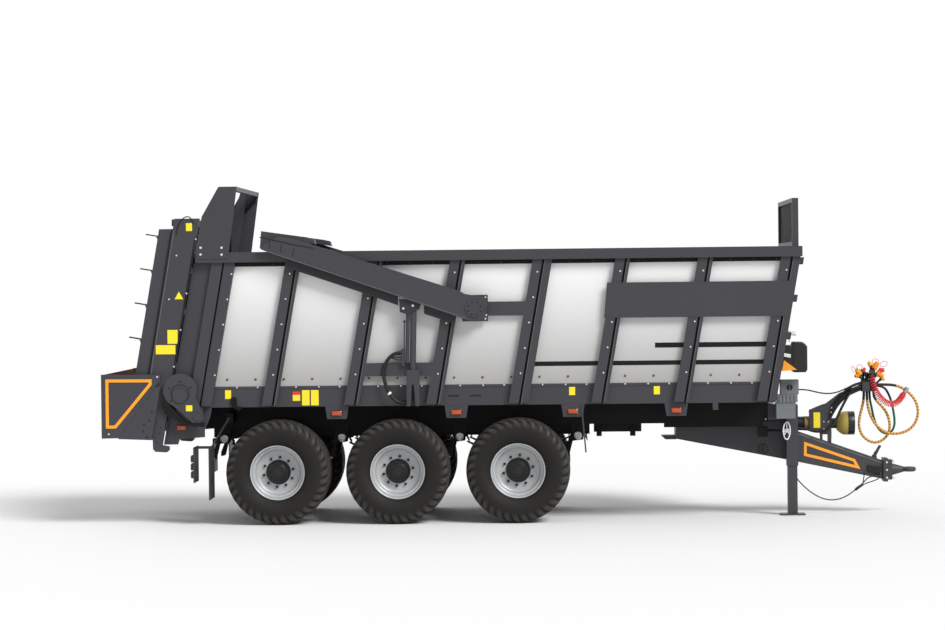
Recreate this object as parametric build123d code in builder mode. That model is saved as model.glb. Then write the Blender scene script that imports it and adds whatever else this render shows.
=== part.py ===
from build123d import *
from math import ceil, cos, pi, radians, sin, tan
import os

os.makedirs("parts", exist_ok=True)

# A trailed three-axle manure spreader, in millimetres.
# +X points to the drawbar, +Y to the machine's left, +Z up. The origin is on the ground under
# the middle of the whole machine. Its body leans: every upright tips forward by the same angle.

# Running gear
mid_axle_x = -1300
axle_pitch = 1350
axle_x = [mid_axle_x + step * axle_pitch for step in (-1, 0, 1)]
tyre_radius = 586
tyre_width = 600
lug_height = 26
lug_count = 35
shoulder_y = 245          # the tread's edge, from the tyre's middle plane
bulge_radius = 470        # where the sidewall stands out furthest
overall_width = 2550
wheel_y = (overall_width - tyre_width) / 2
rim_radius = 308          # bead seat
rim_width = 500
disc_face = 105           # the bolting face, outwards from the tyre's middle plane
hub_radius = 118
stub_radius = 45
axle_side = 130
spring_y = 450
hanger_pin_z = 935

# Chassis and drawbar
chassis_bottom = 1066
chassis_top = 1300
chassis_y = 450
chassis_width = 110
chassis_rear_x = -3640
chassis_front_x = 2890
drawbar_rear_x = 1850
drawbar_head_x = 3247     # front face of the upright housing at the drawbar's root
drawbar_nose_x = 4240
drawbar_head_half = 172
drawbar_nose_half = 90
pto_z = 1025
holder_x = 4000           # the hose holder on its mast
brake_turn = -27
eye_x = 4545
eye_z = 486
eye_radius = 80
eye_hole = 25

# Body
lean = 10
slope = tan(radians(lean))
sill_bottom = 1318
sill_top = 1552
rail_bottom = 2950
rail_top = 3066
rail_rear_x = -3555
rail_front_x = 3250
guard_top = 3604
floor_top = 1505
floor_thick = 40
wall_out = 1060
wall_thick = 12
wall_in = wall_out - wall_thick
rail_out = 1165
sill_inner = wall_in - 60
post_depth = 70
# Edges of the leaning pieces are given where they cross the sill's underside.
rear_edge_x = -3868
front_edge_x = 2941
marker_x = (-1985, -639, 672, 1830)
bay = 926                 # spacing of the posts
first_post_x = -2829
rear_post_x = -3660
post_face = 110
post_slot = 26
# flange width of each post, from the rear to the front
post_flanges = (32, 34, 36, 84, 34, 34, 80)

# Floor conveyor
shaft_z = 1462
rear_shaft_x = -3738
front_shaft_x = 2865
chain_thick = 24
chain_width = 36
chain_y = (150, 932)
slat_width = 44
slat_pitch = 500
slat_count = 13

# Rear unit
column_front_x = rear_edge_x - 17
column_depth = 275
column_out = 1155
beater_y = 500
beater_radius = 455
flight_radius = 335
beater_core = 85
flight_thick = 12
beater_pitch = 398
beater_low_z = 1640
beater_high_z = 3335
beater_low_x = -4028
first_blade = 387         # along the axis, from the lower end to the first blade to the rear
disc_x = -4170
disc_y = 540
disc_z = 1200
disc_radius = 400
guard_out = 1225
guard_rear_x = -4625

# Gate and portal
gate_x = -3541
gate_thick = 20
gate_bottom = 1548
gate_top = 2935

# Swing frame
arm_pivot_x = -417
arm_pivot_z = 2407
arm_inner = 1195
arm_outer = 1260
pin_radius = 60
play = 0.3
cylinder_foot_x = -1120
cylinder_foot_z = 1655
cylinder_eye_x = -1101
cylinder_eye_z = 2479
cylinder_y = 1178
barrel_radius = 35
rod_radius = 22

# Parking jack
jack_x = 3175
jack_y = -340
jack_side = 130
jack_wall = 10
jack_low_z = 560
jack_high_z = 1259


def shifted(x, z):
    """X at height z of a leaning line that crosses the sill's underside at x."""
    return x + (z - sill_bottom) * slope


def block(x, y, z, mode=Mode.ADD):
    """A box between two X, two Y and two Z values."""
    centre = ((x[0] + x[1]) / 2, (y[0] + y[1]) / 2, (z[0] + z[1]) / 2)
    with Locations(centre):
        Box(abs(x[1] - x[0]), abs(y[1] - y[0]), abs(z[1] - z[0]), mode=mode)


def blocks(centres, size, mode=Mode.ADD):
    """Like boxes at several places, in one operation."""
    with Locations(*centres):
        Box(*size, mode=mode)


def side_plate(outline, y, mode=Mode.ADD):
    """A plate whose outline is given as (x, z), between two Y values."""
    with BuildPart(mode=Mode.PRIVATE) as plate:
        with BuildSketch(Plane.XZ.offset(-max(y))):
            with BuildLine():
                Polyline(*outline, close=True)
            make_face()
        extrude(amount=abs(y[1] - y[0]))
    add(plate.part, mode=mode)


def strip(x, z, y, mode=Mode.ADD):
    """A leaning strip: x holds its two edges at the sill's underside."""
    side_plate([(shifted(x[0], z[0]), z[0]), (shifted(x[1], z[0]), z[0]),
                (shifted(x[1], z[1]), z[1]), (shifted(x[0], z[1]), z[1])], y, mode)


def cross_rod(x, z, radius, y, mode=Mode.ADD):
    """A round bar along Y between two Y values."""
    with Locations(Location((x, (y[0] + y[1]) / 2, z), (90, 0, 0))):
        Cylinder(radius, abs(y[1] - y[0]), mode=mode)


def long_rod(y, z, radius, x, mode=Mode.ADD):
    """A round bar along X between two X values."""
    with Locations(Location(((x[0] + x[1]) / 2, y, z), (0, 90, 0))):
        Cylinder(radius, abs(x[1] - x[0]), mode=mode)


def both(side_builder):
    """The piece and its mirror image on the machine's other side."""
    add(side_builder.part)
    add(side_builder.part.mirror(Plane.XZ))


def flat_sided(profile, sides, centre=(0, 0, 0), hollow=False, mode=Mode.ADD):
    """A flat-sided turned form round the Y axis, as a closed shell of flat faces.

    The profile is (y, distance of the flats). A hollow one runs back to its first point.
    """
    rings = []
    for y, flat in profile:
        reach = flat / cos(pi / sides)
        turns = [2 * pi * (i + 0.5) / sides for i in range(sides)]
        rings.append([Vector(*centre) + Vector(reach * sin(a), y, -reach * cos(a)) for a in turns])
    outlines = [] if hollow else [rings[0], rings[-1][::-1]]
    for near, far in zip(rings, rings[1:] + (rings[:1] if hollow else [])):
        outlines += [(near[i], near[i - 1], far[i - 1], far[i]) for i in range(sides)]
    shell = Shell([Face(Wire.make_polygon(outline, close=True)) for outline in outlines])
    add(Solid(shell), mode=mode)


def flight(core, tip, thick, pitch, start, end, hand, steps):
    """A flat-faced screw flight round Z, as one closed shell of triangles."""
    count = ceil((end - start) / pitch * steps)
    corners = []
    for i in range(count + 1):
        turn = pi + hand * 2 * pi * i / steps
        rise = start + pitch * i / steps
        corners.append([(radius * cos(turn), radius * sin(turn), rise + offset)
                        for radius, offset in ((core, 0), (tip, 0), (tip, thick), (core, thick))])
    faces = [corners[0][::-hand], corners[-1][::hand]]
    for low, high in zip(corners, corners[1:]):
        for k in range(4):
            a, b, c, d = low[k], low[(k + 1) % 4], high[(k + 1) % 4], high[k]
            faces += [(a, b, c), (a, c, d)]
    shell = Shell([Face(Wire.make_polygon([Vector(*v) for v in face], close=True)) for face in faces])
    return Solid(shell)


def cord(route, diameter, name):
    """A round tube along straight runs joined by tangent arcs."""
    path = [Vector(*point) for point in route]
    arcs = []
    for before, corner, after in zip(path, path[1:], path[2:]):
        turn = (corner - before).get_angle(after - corner)
        run = min((corner - before).length, (after - corner).length)
        arcs.append(0.45 * run / tan(radians(turn / 2)))
    with BuildPart() as tube:
        with BuildLine() as line:
            FilletPolyline(*path, radius=arcs)
        with BuildSketch(Plane(origin=path[0], z_dir=path[1] - path[0])):
            Circle(diameter / 2)
        sweep(path=line.wire())
    expected = line.wire().length * pi * diameter ** 2 / 4
    print(name, "smallest arc", round(min(arcs)), "length", round(line.wire().length),
          "volume ratio", round(tube.part.volume / expected, 4))
    save(tube, name)


def beater_plane(side):
    """The plane that a beater stands on, square to its leaning axis."""
    return Plane(origin=(beater_low_x, side * beater_y, beater_low_z),
                 x_dir=(cos(radians(lean)), 0, -sin(radians(lean))),
                 z_dir=(sin(radians(lean)), 0, cos(radians(lean))))


beater_height = (beater_high_z - beater_low_z) / cos(radians(lean))


def save(builder, name):
    builder.part.label = name
    export_step(builder.part, f"parts/{name}.step")


# ---------------------------------------------------------------- chassis
with BuildPart() as chassis:
    for side in (-1, 1):
        side_plate([(chassis_rear_x, chassis_top), (chassis_rear_x, chassis_bottom + 60),
                    (chassis_rear_x + 90, chassis_bottom), (chassis_front_x - 60, chassis_bottom),
                    (chassis_front_x, chassis_bottom + 70), (chassis_front_x, chassis_top)],
                   (side * (chassis_y - chassis_width / 2), side * (chassis_y + chassis_width / 2)))
    inside = 2 * chassis_y - chassis_width
    cross_z = chassis_top - 75
    cross_places = [(x, 0, cross_z) for x in (-3400, -2560, -1740, -860, -40, 972, 1361, 2300, 2830)]
    blocks(cross_places, (90, inside, 130))
    # body bearers on the beams, one under each post
    bearer_places = [(first_post_x + i * bay + post_face / 2, 0, chassis_top + 32) for i in range(7)]
    bearer_places.append((-3560, 0, chassis_top + 32))
    blocks(bearer_places, (80, 2 * sill_inner, 64))
    for side in (-1, 1):
        # the drawbar's seat under each beam, and the rear lamps' outrigger
        y_beam = (side * (chassis_y - chassis_width / 2), side * (chassis_y + chassis_width / 2))
        block((1710, 2830), y_beam, (1020, chassis_bottom))
        block((-3270, -3190), (side * chassis_y, side * 800), (1130, 1240))
    # the stringer under the middle of the floor
    bearer_top = chassis_top + 64
    block((-3600, 2790), (-40, 40), (bearer_top, floor_top - floor_thick))
save(chassis, "chassis")


def between(x, x0, x1, low, high):
    """A value that goes evenly from low at x0 to high at x1."""
    return low + (x - x0) * (high - low) / (x1 - x0)


def drawbar_top(x):
    return between(x, drawbar_head_x, drawbar_nose_x, 940, 590)


def drawbar_half(x):
    return between(x, drawbar_rear_x, 3040, 260, 190)


# ---------------------------------------------------------------- drawbar
# sections of the box beam: (x, bottom, top, half width)
drawbar_sections = (
    (drawbar_rear_x, 875, chassis_bottom, 260),
    (3040, 637, chassis_bottom, 190),
    (drawbar_head_x, 593, 940, drawbar_head_half),
    (drawbar_nose_x, 379, 590, drawbar_nose_half),
)
with BuildPart() as drawbar:
    for rear, front in zip(drawbar_sections, drawbar_sections[1:]):
        sections = []
        for x, bottom, top, half in (rear, front):
            with BuildSketch(Plane(origin=(x, 0, 0), x_dir=(0, 1, 0), z_dir=(1, 0, 0))) as section:
                with Locations((0, (bottom + top) / 2)):
                    Rectangle(2 * half, top - bottom)
            sections.append(section.sketch)
        loft(sections)
    # the upright housing at the root, and its arms to the chassis
    block((3017, drawbar_head_x), (-drawbar_head_half, drawbar_head_half), (900, jack_high_z))
    # lugs for the safety cable, and the rear bracket
    block((3108, 3148), (-215, -drawbar_head_half), (878, 896))
    block((4140, 4180), (-135, -drawbar_nose_half), (405, 425))
    side_plate([(1690, 902), (1735, 862), (1860, 862), (1860, 902)], (-150, 150))
    # the hand lever on the nose
    with Locations(Location((4160, 0, 655), (0, 27, 0))):
        Cylinder(14, 120)
    side_plate([(chassis_front_x, 1090), (3017, 1090), (3017, 1250), (chassis_front_x, 1290)],
               (-chassis_y - 50, chassis_y + 50))
save(drawbar, "drawbar")

with BuildPart() as towing_eye:
    for x0, half, low, high in ((drawbar_nose_x, 125, 352, 620), (drawbar_nose_x + 50, 100, 372, 600)):
        block((x0, x0 + 50), (-half, half), (low, high))
    neck = []
    for x, radius in ((drawbar_nose_x + 100, 72), (eye_x - 60, 30)):
        with BuildSketch(Plane(origin=(x, 0, eye_z), z_dir=(1, 0, 0))) as neck_section:
            Circle(radius)
        neck.append(neck_section.sketch)
    loft(neck)
    with Locations((eye_x, 0, eye_z)):
        Torus((eye_radius + eye_hole) / 2, (eye_radius - eye_hole) / 2)
        Cylinder(eye_radius - 12, 44)
        Cylinder(eye_hole, 60, mode=Mode.SUBTRACT)
save(towing_eye, "towing_eye")

# ---------------------------------------------------------------- body
with BuildPart() as load_floor:
    block((rear_shaft_x + 55, front_shaft_x - 55), (-wall_in, wall_in),
          (floor_top - floor_thick, floor_top))
save(load_floor, "load_floor")

with BuildPart() as right_wall:
    strip((rear_post_x + 262, front_edge_x), (sill_top, rail_bottom), (-wall_out, -wall_in))
with BuildPart() as side_walls:
    both(right_wall)
save(side_walls, "side_walls")

with BuildPart() as right_rear_wall:
    strip((rear_edge_x, rear_post_x + 262), (1215, rail_bottom), (-wall_out, -wall_in))
    # the lower plate, stepped along its foot
    side_plate([(-3960, 905), (-3785, 905), (-3765, 965), (-3480, 985), (-3480, 1070),
                (shifted(rear_post_x + 262, 1215), 1215), (shifted(rear_edge_x, 1215), 1215),
                (shifted(rear_edge_x, 905), 905)][1:], (-wall_out, -wall_in))
    # edge flange and fold
    strip((rear_edge_x, rear_edge_x + 10), (905, rail_bottom), (-wall_out - 40, -wall_out))
    strip((rear_edge_x + 10, rear_post_x), (1300, rail_bottom), (-wall_out - 20, -wall_out))
    # the gate's runners
    for x in (gate_x - 25 - play, gate_x + gate_thick + play):
        strip((x, x + 25), (gate_bottom, rail_bottom), (-wall_in, -wall_in + 40))
with BuildPart() as rear_walls:
    both(right_rear_wall)
save(rear_walls, "rear_walls")

with BuildPart() as right_posts:
    post_z = (sill_bottom + 18, rail_bottom)
    for i, flange in enumerate(post_flanges):
        x = first_post_x + i * bay
        slot_end = x + post_face + post_slot
        y_face = (-wall_out - post_depth, -wall_out - post_depth + 8)
        strip((x, x + 8), post_z, (-wall_out - post_depth, -wall_out))
        strip((x, x + post_face), post_z, y_face)
        strip((x + post_face - 8, x + post_face), post_z, (-wall_out - post_depth, -wall_out))
        strip((x, slot_end + flange), post_z, (-wall_out - 8, -wall_out))
        strip((slot_end, slot_end + flange), post_z, (-wall_out - post_depth, -wall_out))
    # the rear post, handed the other way
    x = rear_post_x
    strip((x, x + 90), post_z, (-wall_out - post_depth, -wall_out))
    strip((x, x + 262), post_z, (-wall_out - 8, -wall_out))
    strip((x + 144, x + 262), post_z, (-wall_out - post_depth, -wall_out - post_depth + 8))
    strip((x + 144, x + 152), post_z, (-wall_out - post_depth, -wall_out))
    strip((x + 254, x + 262), post_z, (-wall_out - post_depth, -wall_out))
with BuildPart() as posts:
    both(right_posts)
save(posts, "posts")

with BuildPart() as right_sill:
    strip((rear_post_x + 262, front_edge_x), (sill_bottom, floor_top - floor_thick),
          (-wall_in, -sill_inner))
    strip((rear_post_x + 262, front_edge_x), (sill_bottom, sill_top), (-wall_out, -wall_in))
    # hanging plates for the marker lamps, and a stay
    for x in marker_x:
        side_plate([(x - 132, sill_bottom), (x + 132, sill_bottom), (x + 110, 1176), (x - 110, 1176)],
                   (-wall_out - 8, -wall_out))
    side_plate([(758, 1318), (775, 1318), (821, 775), (804, 775)], (-wall_out - 20, -wall_out - 8))
    side_plate([(2238, 1240), (2300, 1240), (2300, sill_bottom), (2238, sill_bottom)],
               (-wall_out, -wall_in))
with BuildPart() as sills:
    both(right_sill)
save(sills, "sills")

with BuildPart() as right_rail:
    block((rail_rear_x, rail_front_x), (-rail_out, -wall_in - 2), (rail_bottom, rail_top))
    block((rail_rear_x - 1, rail_front_x - 8), (-rail_out + 6, -wall_in - 8),
          (rail_bottom + 6, rail_top - 6), mode=Mode.SUBTRACT)
with BuildPart() as top_rails:
    both(right_rail)
save(top_rails, "top_rails")

with BuildPart() as front_wall:
    strip((front_edge_x - wall_thick, front_edge_x), (floor_top + 40, rail_top), (-wall_in, wall_in))
    for z in (2060, 2480, 2900):
        strip((front_edge_x, front_edge_x + 50), (z - 40, z + 40), (-wall_in, wall_in))
    # the guard that stands on it
    guard_x = (3142, 3212)
    block(guard_x, (-1100, 1100), (rail_top, guard_top))
    block(guard_x, (-1050, 1050), (rail_top + 50, guard_top - 50), mode=Mode.SUBTRACT)
    guard_middle = (rail_top + guard_top) / 2
    blocks([(3177, -1050 + 100 * i, guard_middle) for i in range(1, 21)], (20, 24, guard_top - rail_top - 90))
save(front_wall, "front_wall")

with BuildPart() as portal:
    for side in (-1, 1):
        side_plate([(-3282, 3803), (-3075, 3803), (-3172, 3080), (-3200, 2991), (-3540, 2991),
                    (-3549, 3080), (-3475, 3467)], (side * rail_out, side * (rail_out + 8)))
        side_plate([(-3282, 3803), (-3210, 3803), (-3320, rail_top), (-3400, rail_top),
                    (-3400, 3467)], (side * rail_out, side * wall_in))
    block((-3135, -3085), (-rail_out, rail_out), (3753, 3803))
save(portal, "portal")

with BuildPart() as gate:
    strip((gate_x, gate_x + gate_thick), (gate_bottom, gate_top), (-wall_in + 8, wall_in - 8))
save(gate, "gate")

# ---------------------------------------------------------------- floor conveyor
# Two endless mats side by side, each of two chains joined by slats.
run_bottom = floor_top + 1 - shaft_z
run_top = run_bottom + chain_thick
with BuildPart() as floor_chain:
    for side in (-1, 1):
        for run_z in (run_bottom, -run_top):
            with BuildSketch(Plane.XY.offset(shaft_z + run_z)):
                for y in chain_y:
                    with Locations(((rear_shaft_x + front_shaft_x) / 2, side * y)):
                        Rectangle(front_shaft_x - rear_shaft_x, chain_width)
                first_slat = (rear_shaft_x + front_shaft_x - slat_pitch * (slat_count - 1)) / 2
                slat_y = side * (chain_y[0] + chain_y[1]) / 2
                with Locations(*[(first_slat + i * slat_pitch, slat_y) for i in range(slat_count)]):
                    Rectangle(slat_width, chain_y[1] - chain_y[0])
            extrude(amount=chain_thick)
        # the links that turn round the sprockets
        for end, x in ((-1, rear_shaft_x), (1, front_shaft_x)):
            for y in chain_y:
                outer = [(x + end * run_top * sin(radians(a)), shaft_z + run_top * cos(radians(a)))
                         for a in (0, 45, 90, 135, 180)]
                inner = [(x + end * run_bottom * sin(radians(a)), shaft_z + run_bottom * cos(radians(a)))
                         for a in (180, 135, 90, 45, 0)]
                side_plate(outer + inner, (side * (y - chain_width / 2), side * (y + chain_width / 2)))
    # the shafts and their sprockets
    for x in (rear_shaft_x, front_shaft_x):
        reach = wall_in if x == rear_shaft_x else sill_inner
        flat_sided([(-reach, 25), (reach, 25)], 6, (x, 0, shaft_z))
        for side in (-1, 1):
            for y in chain_y:
                sprocket_y = [(offset, run_bottom - 1) for offset in (-chain_width / 2, chain_width / 2)]
                flat_sided(sprocket_y, 8, (x, side * y, shaft_z))
save(floor_chain, "floor_chain")

# ---------------------------------------------------------------- rear unit
with BuildPart() as right_column:
    rear_x = column_front_x - column_depth
    side_plate([(shifted(rear_x, 3450), 3450), (shifted(column_front_x, 3450), 3450),
                (shifted(column_front_x, 900), 900), (-3880, 885), (-3880, 845), (-3905, 822),
                (-4030, 830), (-4057, 858), (-4060, 960), (shifted(rear_x, 1500), 1500)],
               (-column_out, -wall_in - 2))
    strip((rear_x - 157, rear_x - 7), (1560, 3335), (-1135, -1060))
    strip((rear_x - 7, rear_x), (1560, 3335), (-1110, -1060))
    # pads bolted against the body's rear edge
    for z in (1120, 1790, 2400, 2860):
        strip((column_front_x, rear_edge_x), (z - 35, z + 35), (-1098, -1062))
with BuildPart() as beater_frame:
    both(right_column)
    block((-3830, -3600), (-wall_in - 2, wall_in + 2), (3370, 3445))
    block((-4130, -3935), (-wall_in - 2, wall_in + 2), (1390, 1520))
    # bearing housings at both ends of each beater
    for side in (-1, 1):
        for rise, length in ((-150, 150 - play), (beater_height + play, 60)):
            with BuildPart(beater_plane(side), mode=Mode.PRIVATE) as housing:
                with Locations((0, 0, rise)):
                    Cylinder(beater_core - 15, length, align=(Align.CENTER, Align.CENTER, Align.MIN))
            add(housing.part)
save(beater_frame, "beater_frame")

# Each beater has a screw flight of one start with blades bolted to its edge; the pair is handed.
first_rise = first_blade - 3 * beater_pitch / 4
last_rise = first_blade + 12 * beater_pitch / 4
for side, tag in ((-1, "right"), (1, "left")):
    with BuildPart() as beater:
        Cylinder(beater_core, beater_height, align=(Align.CENTER, Align.CENTER, Align.MIN))
        # the flight's first edge points to the side from which the fourth blade faces the rear
        screw = flight(beater_core - 12, flight_radius, flight_thick, beater_pitch,
                       first_rise, last_rise, side, 12)
        add(screw.rotate(Axis.Z, -side * 270))
        for i in range(-3, 13):
            with Locations(Location((0, 0, first_blade + i * beater_pitch / 4), (0, 0, 180 + side * 90 * i))):
                with Locations(((beater_radius + flight_radius) / 2 - 30, 0, flight_thick)):
                    Box(beater_radius - flight_radius + 60, 70, 14)
    beater.part = beater.part.moved(beater_plane(side).location)
    save(beater, f"beater_{tag}")

for side, tag in ((-1, "right"), (1, "left")):
    with BuildPart() as disc:
        with BuildSketch(Plane.XY.offset(disc_z - 5)):
            with Locations((disc_x, side * disc_y)):
                RegularPolygon(disc_radius, 16)
        extrude(amount=10)
        with Locations((disc_x, side * disc_y, disc_z)):
            Cylinder(70, 60)
        for i in range(4):
            with Locations(Location((disc_x, side * disc_y, disc_z), (0, 0, 90 * i))):
                with Locations((disc_radius / 2 + 20, 0, 40)):
                    Box(disc_radius - 60, 10, 80)
    save(disc, f"spreading_disc_{tag}")

with BuildPart() as spreading_deck:
    for side in (-1, 1):
        side_plate([(guard_rear_x, 987), (guard_rear_x, 1706), (-3960, 1700), (-3960, 1640),
                    (-4445, 990)], (side * (guard_out - 8), side * guard_out))
        side_plate([(-4440, 980), (-4440, 1100), (-4100, 1560), (-3960, 1560), (-4062, 965)],
                   (side * column_out, side * (guard_out - 8)))
        block((-4260, -4080), (side * 1000, side * column_out), (1000, 1100))
        with Locations((disc_x, side * disc_y, 1100)):
            Cylinder(90, 69.7, align=(Align.CENTER, Align.CENTER, Align.MIN))
    block((-4260, -4080), (-1000, 1000), (1000, 1100))
save(spreading_deck, "spreading_deck")

with BuildPart() as drive_covers:
    for side in (-1, 1):
        # the cover's back stands on the wall beside the column
        side_plate([(-3825, 1450), (-3800, 1600), (-3780, 1690), (-3680, 1690), (-3665, 1330),
                    (-3490, 1325), (-3490, 1180), (-3700, 1135), (-3770, 1190)],
                   (side * (wall_out + 20), side * column_out))
        y_cover = (side * column_out, side * (column_out + 55))
        cross_rod(-3737, 1520, 190, y_cover)
        side_plate([(-3905, 1430), (-3737, 1330), (-3565, 1440), (-3478, 1245), (-3478, 1195),
                    (-3512, 1155), (-3600, 1155)], y_cover)
        cross_rod(-3738, 1462, 82, (side * (column_out + 55), side * (column_out + 72)))
        cross_rod(-3545, 1222, 46, (side * (column_out + 55), side * (column_out + 68)))
save(drive_covers, "drive_covers")

# ---------------------------------------------------------------- boards
board_y = wall_out + post_depth
with BuildPart() as name_boards:
    for side in (-1, 1):
        side_plate([(1030, 2285), (3090, 2285), (3160, 2680), (1067, 2680)],
                   (side * board_y, side * (board_y + 6)))
save(name_boards, "name_boards")

# ---------------------------------------------------------------- swing frame
bar_a = (2322, 2480)
bar_b = (1655, 1803)
with BuildPart() as right_mount:
    # rest tubes between two posts: (post behind, bottom and top)
    for i, bar in ((2, bar_a), (1, bar_b)):
        x0 = first_post_x + i * bay + post_face + post_slot + post_flanges[i]
        strip((x0, first_post_x + (i + 1) * bay), bar, (-wall_out - post_depth, -wall_out))
    block((-560, -270), (-board_y - 10, -board_y), (2262, 2558))
    cross_rod(arm_pivot_x, arm_pivot_z, 95, (-board_y - 10, -arm_inner + play))
    cross_rod(arm_pivot_x, arm_pivot_z, pin_radius, (-arm_inner, -arm_outer - play))
    cross_rod(arm_pivot_x, arm_pivot_z, 100, (-arm_outer - play, -arm_outer - 12))
    # the cylinder's fork stands on the lower tube
    fork = [(-1187, 1320), (-1144, 1320), (-1128, 1565), (-1106, 1565), (-1088, 1320), (-1045, 1320),
            (-1045, 1724), (-1187, 1724)]
    side_plate(fork, (-cylinder_y - 51, -cylinder_y - 39))
    block((-1187, -1045), (-board_y - 10, -board_y), (1560, 1724))
    for x in (-1187, -1053):
        block((x, x + 8), (-cylinder_y - 39, -board_y), (1560, 1600))
        block((x, x + 8), (-cylinder_y - 39, -wall_out - 20), (1320, 1560))
    cross_rod(cylinder_foot_x, cylinder_foot_z, 20, (-cylinder_y - 39, -board_y - 10))
    # hose fitting beside the cylinder
    block((-1245, -1205), (-board_y - 45, -board_y), (1770, 1960))
with BuildPart() as arm_mounts:
    both(right_mount)
save(arm_mounts, "arm_mounts")

with BuildPart() as right_arm:
    y_arm = (-arm_outer, -arm_inner)
    side_plate([(-271, 2454), (-310, 2530), (-343, 2538), (-522, 2570), (-611, 2614), (-2443, 3210),
                (-2610, 3240), (-2820, 3114), (-2793, 3088), (-2670, 3046), (-480, 2271),
                (-380, 2270), (-312, 2298)], y_arm)
    cross_rod(arm_pivot_x, arm_pivot_z, pin_radius + play, y_arm, mode=Mode.SUBTRACT)
    # the head's box and its cheek inboard of the arm
    side_plate([(-2805, 3299), (-2820, 3114), (-2680, 3120), (-2410, 3185), (-2197, 3146),
                (-2215, 3206), (-2300, 3226)], (-arm_inner, -arm_inner + 160))
    # lugs for the cylinder's eye
    lug = [(-1165, 2550), (-1135, 2440), (-1067, 2440), (-1037, 2550)]
    side_plate(lug, (-cylinder_y - 40, -cylinder_y - 28))
    side_plate(lug, (-cylinder_y + 28, -cylinder_y + 40))
    block((-1165, -1037), (-arm_inner, -cylinder_y + 40), (2534, 2550))
    cross_rod(cylinder_eye_x, cylinder_eye_z, 14, (-cylinder_y - 28, -cylinder_y + 28))
with BuildPart() as swing_frame:
    both(right_arm)
    block((-2640, -2440), (-arm_inner, arm_inner), (3120, 3225))
save(swing_frame, "swing_frame")

eye_to_eye = ((cylinder_eye_x - cylinder_foot_x) ** 2 + (cylinder_eye_z - cylinder_foot_z) ** 2) ** 0.5
for side, tag in ((-1, "right"), (1, "left")):
    stand = Plane(origin=(cylinder_foot_x, side * cylinder_y, cylinder_foot_z),
                  x_dir=(cylinder_eye_z - cylinder_foot_z, 0, cylinder_foot_x - cylinder_eye_x),
                  z_dir=(cylinder_eye_x - cylinder_foot_x, 0, cylinder_eye_z - cylinder_foot_z))
    with BuildPart() as barrel:
        with Locations((0, 0, 30)):
            Cylinder(barrel_radius, 715, align=(Align.CENTER, Align.CENTER, Align.MIN))
        cross_rod(0, 0, 38, (-30, 30))
        with Locations((0, 0, 70)):
            Cylinder(rod_radius + play, 700, align=(Align.CENTER, Align.CENTER, Align.MIN),
                     mode=Mode.SUBTRACT)
        cross_rod(0, 0, 20 + play, (-30, 30), mode=Mode.SUBTRACT)
    barrel.part = barrel.part.moved(stand.location)
    save(barrel, f"cylinder_{tag}")
    with BuildPart() as rod:
        with Locations((0, 0, 250)):
            Cylinder(rod_radius, eye_to_eye - 275, align=(Align.CENTER, Align.CENTER, Align.MIN))
        cross_rod(0, eye_to_eye, 40, (-13, 13))
        cross_rod(0, eye_to_eye, 26, (-13, 13), mode=Mode.SUBTRACT)
    rod.part = rod.part.moved(stand.location)
    save(rod, f"cylinder_rod_{tag}")

# ---------------------------------------------------------------- running gear
beam_end = 850
with BuildPart() as axles:
    for x in axle_x:
        block((x - axle_side / 2, x + axle_side / 2), (-beam_end, beam_end),
              (tyre_radius - axle_side / 2, tyre_radius + axle_side / 2))
        for side in (-1, 1):
            cross_rod(x, tyre_radius, stub_radius, (side * beam_end, side * (wheel_y + disc_face + 20)))
save(axles, "axles")

# Leaf springs: each pack rests on its axle, and its ends sit in rockers on the hangers.
seat_z = tyre_radius + axle_side / 2
with BuildPart() as right_springs:
    y_leaf = (-spring_y - 40, -spring_y + 40)
    half = axle_pitch / 2 - 80
    for x in axle_x:
        upper = [(x + share * half, seat_z + 86 + 150 * share ** 2) for share in (-1, -0.5, 0, 0.5, 1)]
        lower = [(x + half, seat_z + 222), (x + 0.72 * half, seat_z + 138), (x + 0.4 * half, seat_z + 68),
                 (x + 0.16 * half, seat_z + 30), (x + 0.16 * half, seat_z),
                 (x - 0.16 * half, seat_z), (x - 0.16 * half, seat_z + 30),
                 (x - 0.4 * half, seat_z + 68), (x - 0.72 * half, seat_z + 138), (x - half, seat_z + 222)]
        side_plate(upper + lower, y_leaf)
    for x in [mid_axle_x + step * axle_pitch for step in (-1.5, -0.5, 0.5, 1.5)]:
        for y in (-spring_y - 57, -spring_y + 45):
            side_plate([(x - 85, chassis_bottom), (x + 85, chassis_bottom), (x + 60, hanger_pin_z - 45),
                        (x - 60, hanger_pin_z - 60), (x - 105, 690), (x - 150, 680), (x - 150, 730),
                        (x - 70, hanger_pin_z)], (y, y + 12))
        side_plate([(x - 110, 868), (x - 50, hanger_pin_z + 45), (x + 50, hanger_pin_z + 45), (x + 110, 868),
                    (x + 110, 905), (x + 60, hanger_pin_z + 55), (x - 60, hanger_pin_z + 55), (x - 110, 905)],
                   (-spring_y - 45, -spring_y + 45))
        cross_rod(x, hanger_pin_z, 42, (-spring_y - 75, -spring_y + 57))
with BuildPart() as springs:
    both(right_springs)
save(springs, "springs")

tyre_corner = tyre_radius / cos(pi / lug_count)
rim_lip = rim_width / 2
with BuildPart() as tyre_form:
    flat_sided([(-rim_lip, rim_radius), (-tyre_width / 2, bulge_radius), (-shoulder_y, tyre_radius),
                (shoulder_y, tyre_radius), (tyre_width / 2, bulge_radius), (rim_lip, rim_radius)],
               lug_count, hollow=True)
    # a groove across the tread between every two lugs
    grooves = [Location((0, 0, 0), (0, 90 - 360 * (i + 0.5) / lug_count, 0)) for i in range(lug_count)]
    with Locations(*[turn * Location((tyre_corner, 0, 0), (0, 45, 0)) for turn in grooves]):
        Box(lug_height * 2 ** 0.5, tyre_width, lug_height * 2 ** 0.5, mode=Mode.SUBTRACT)

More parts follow.
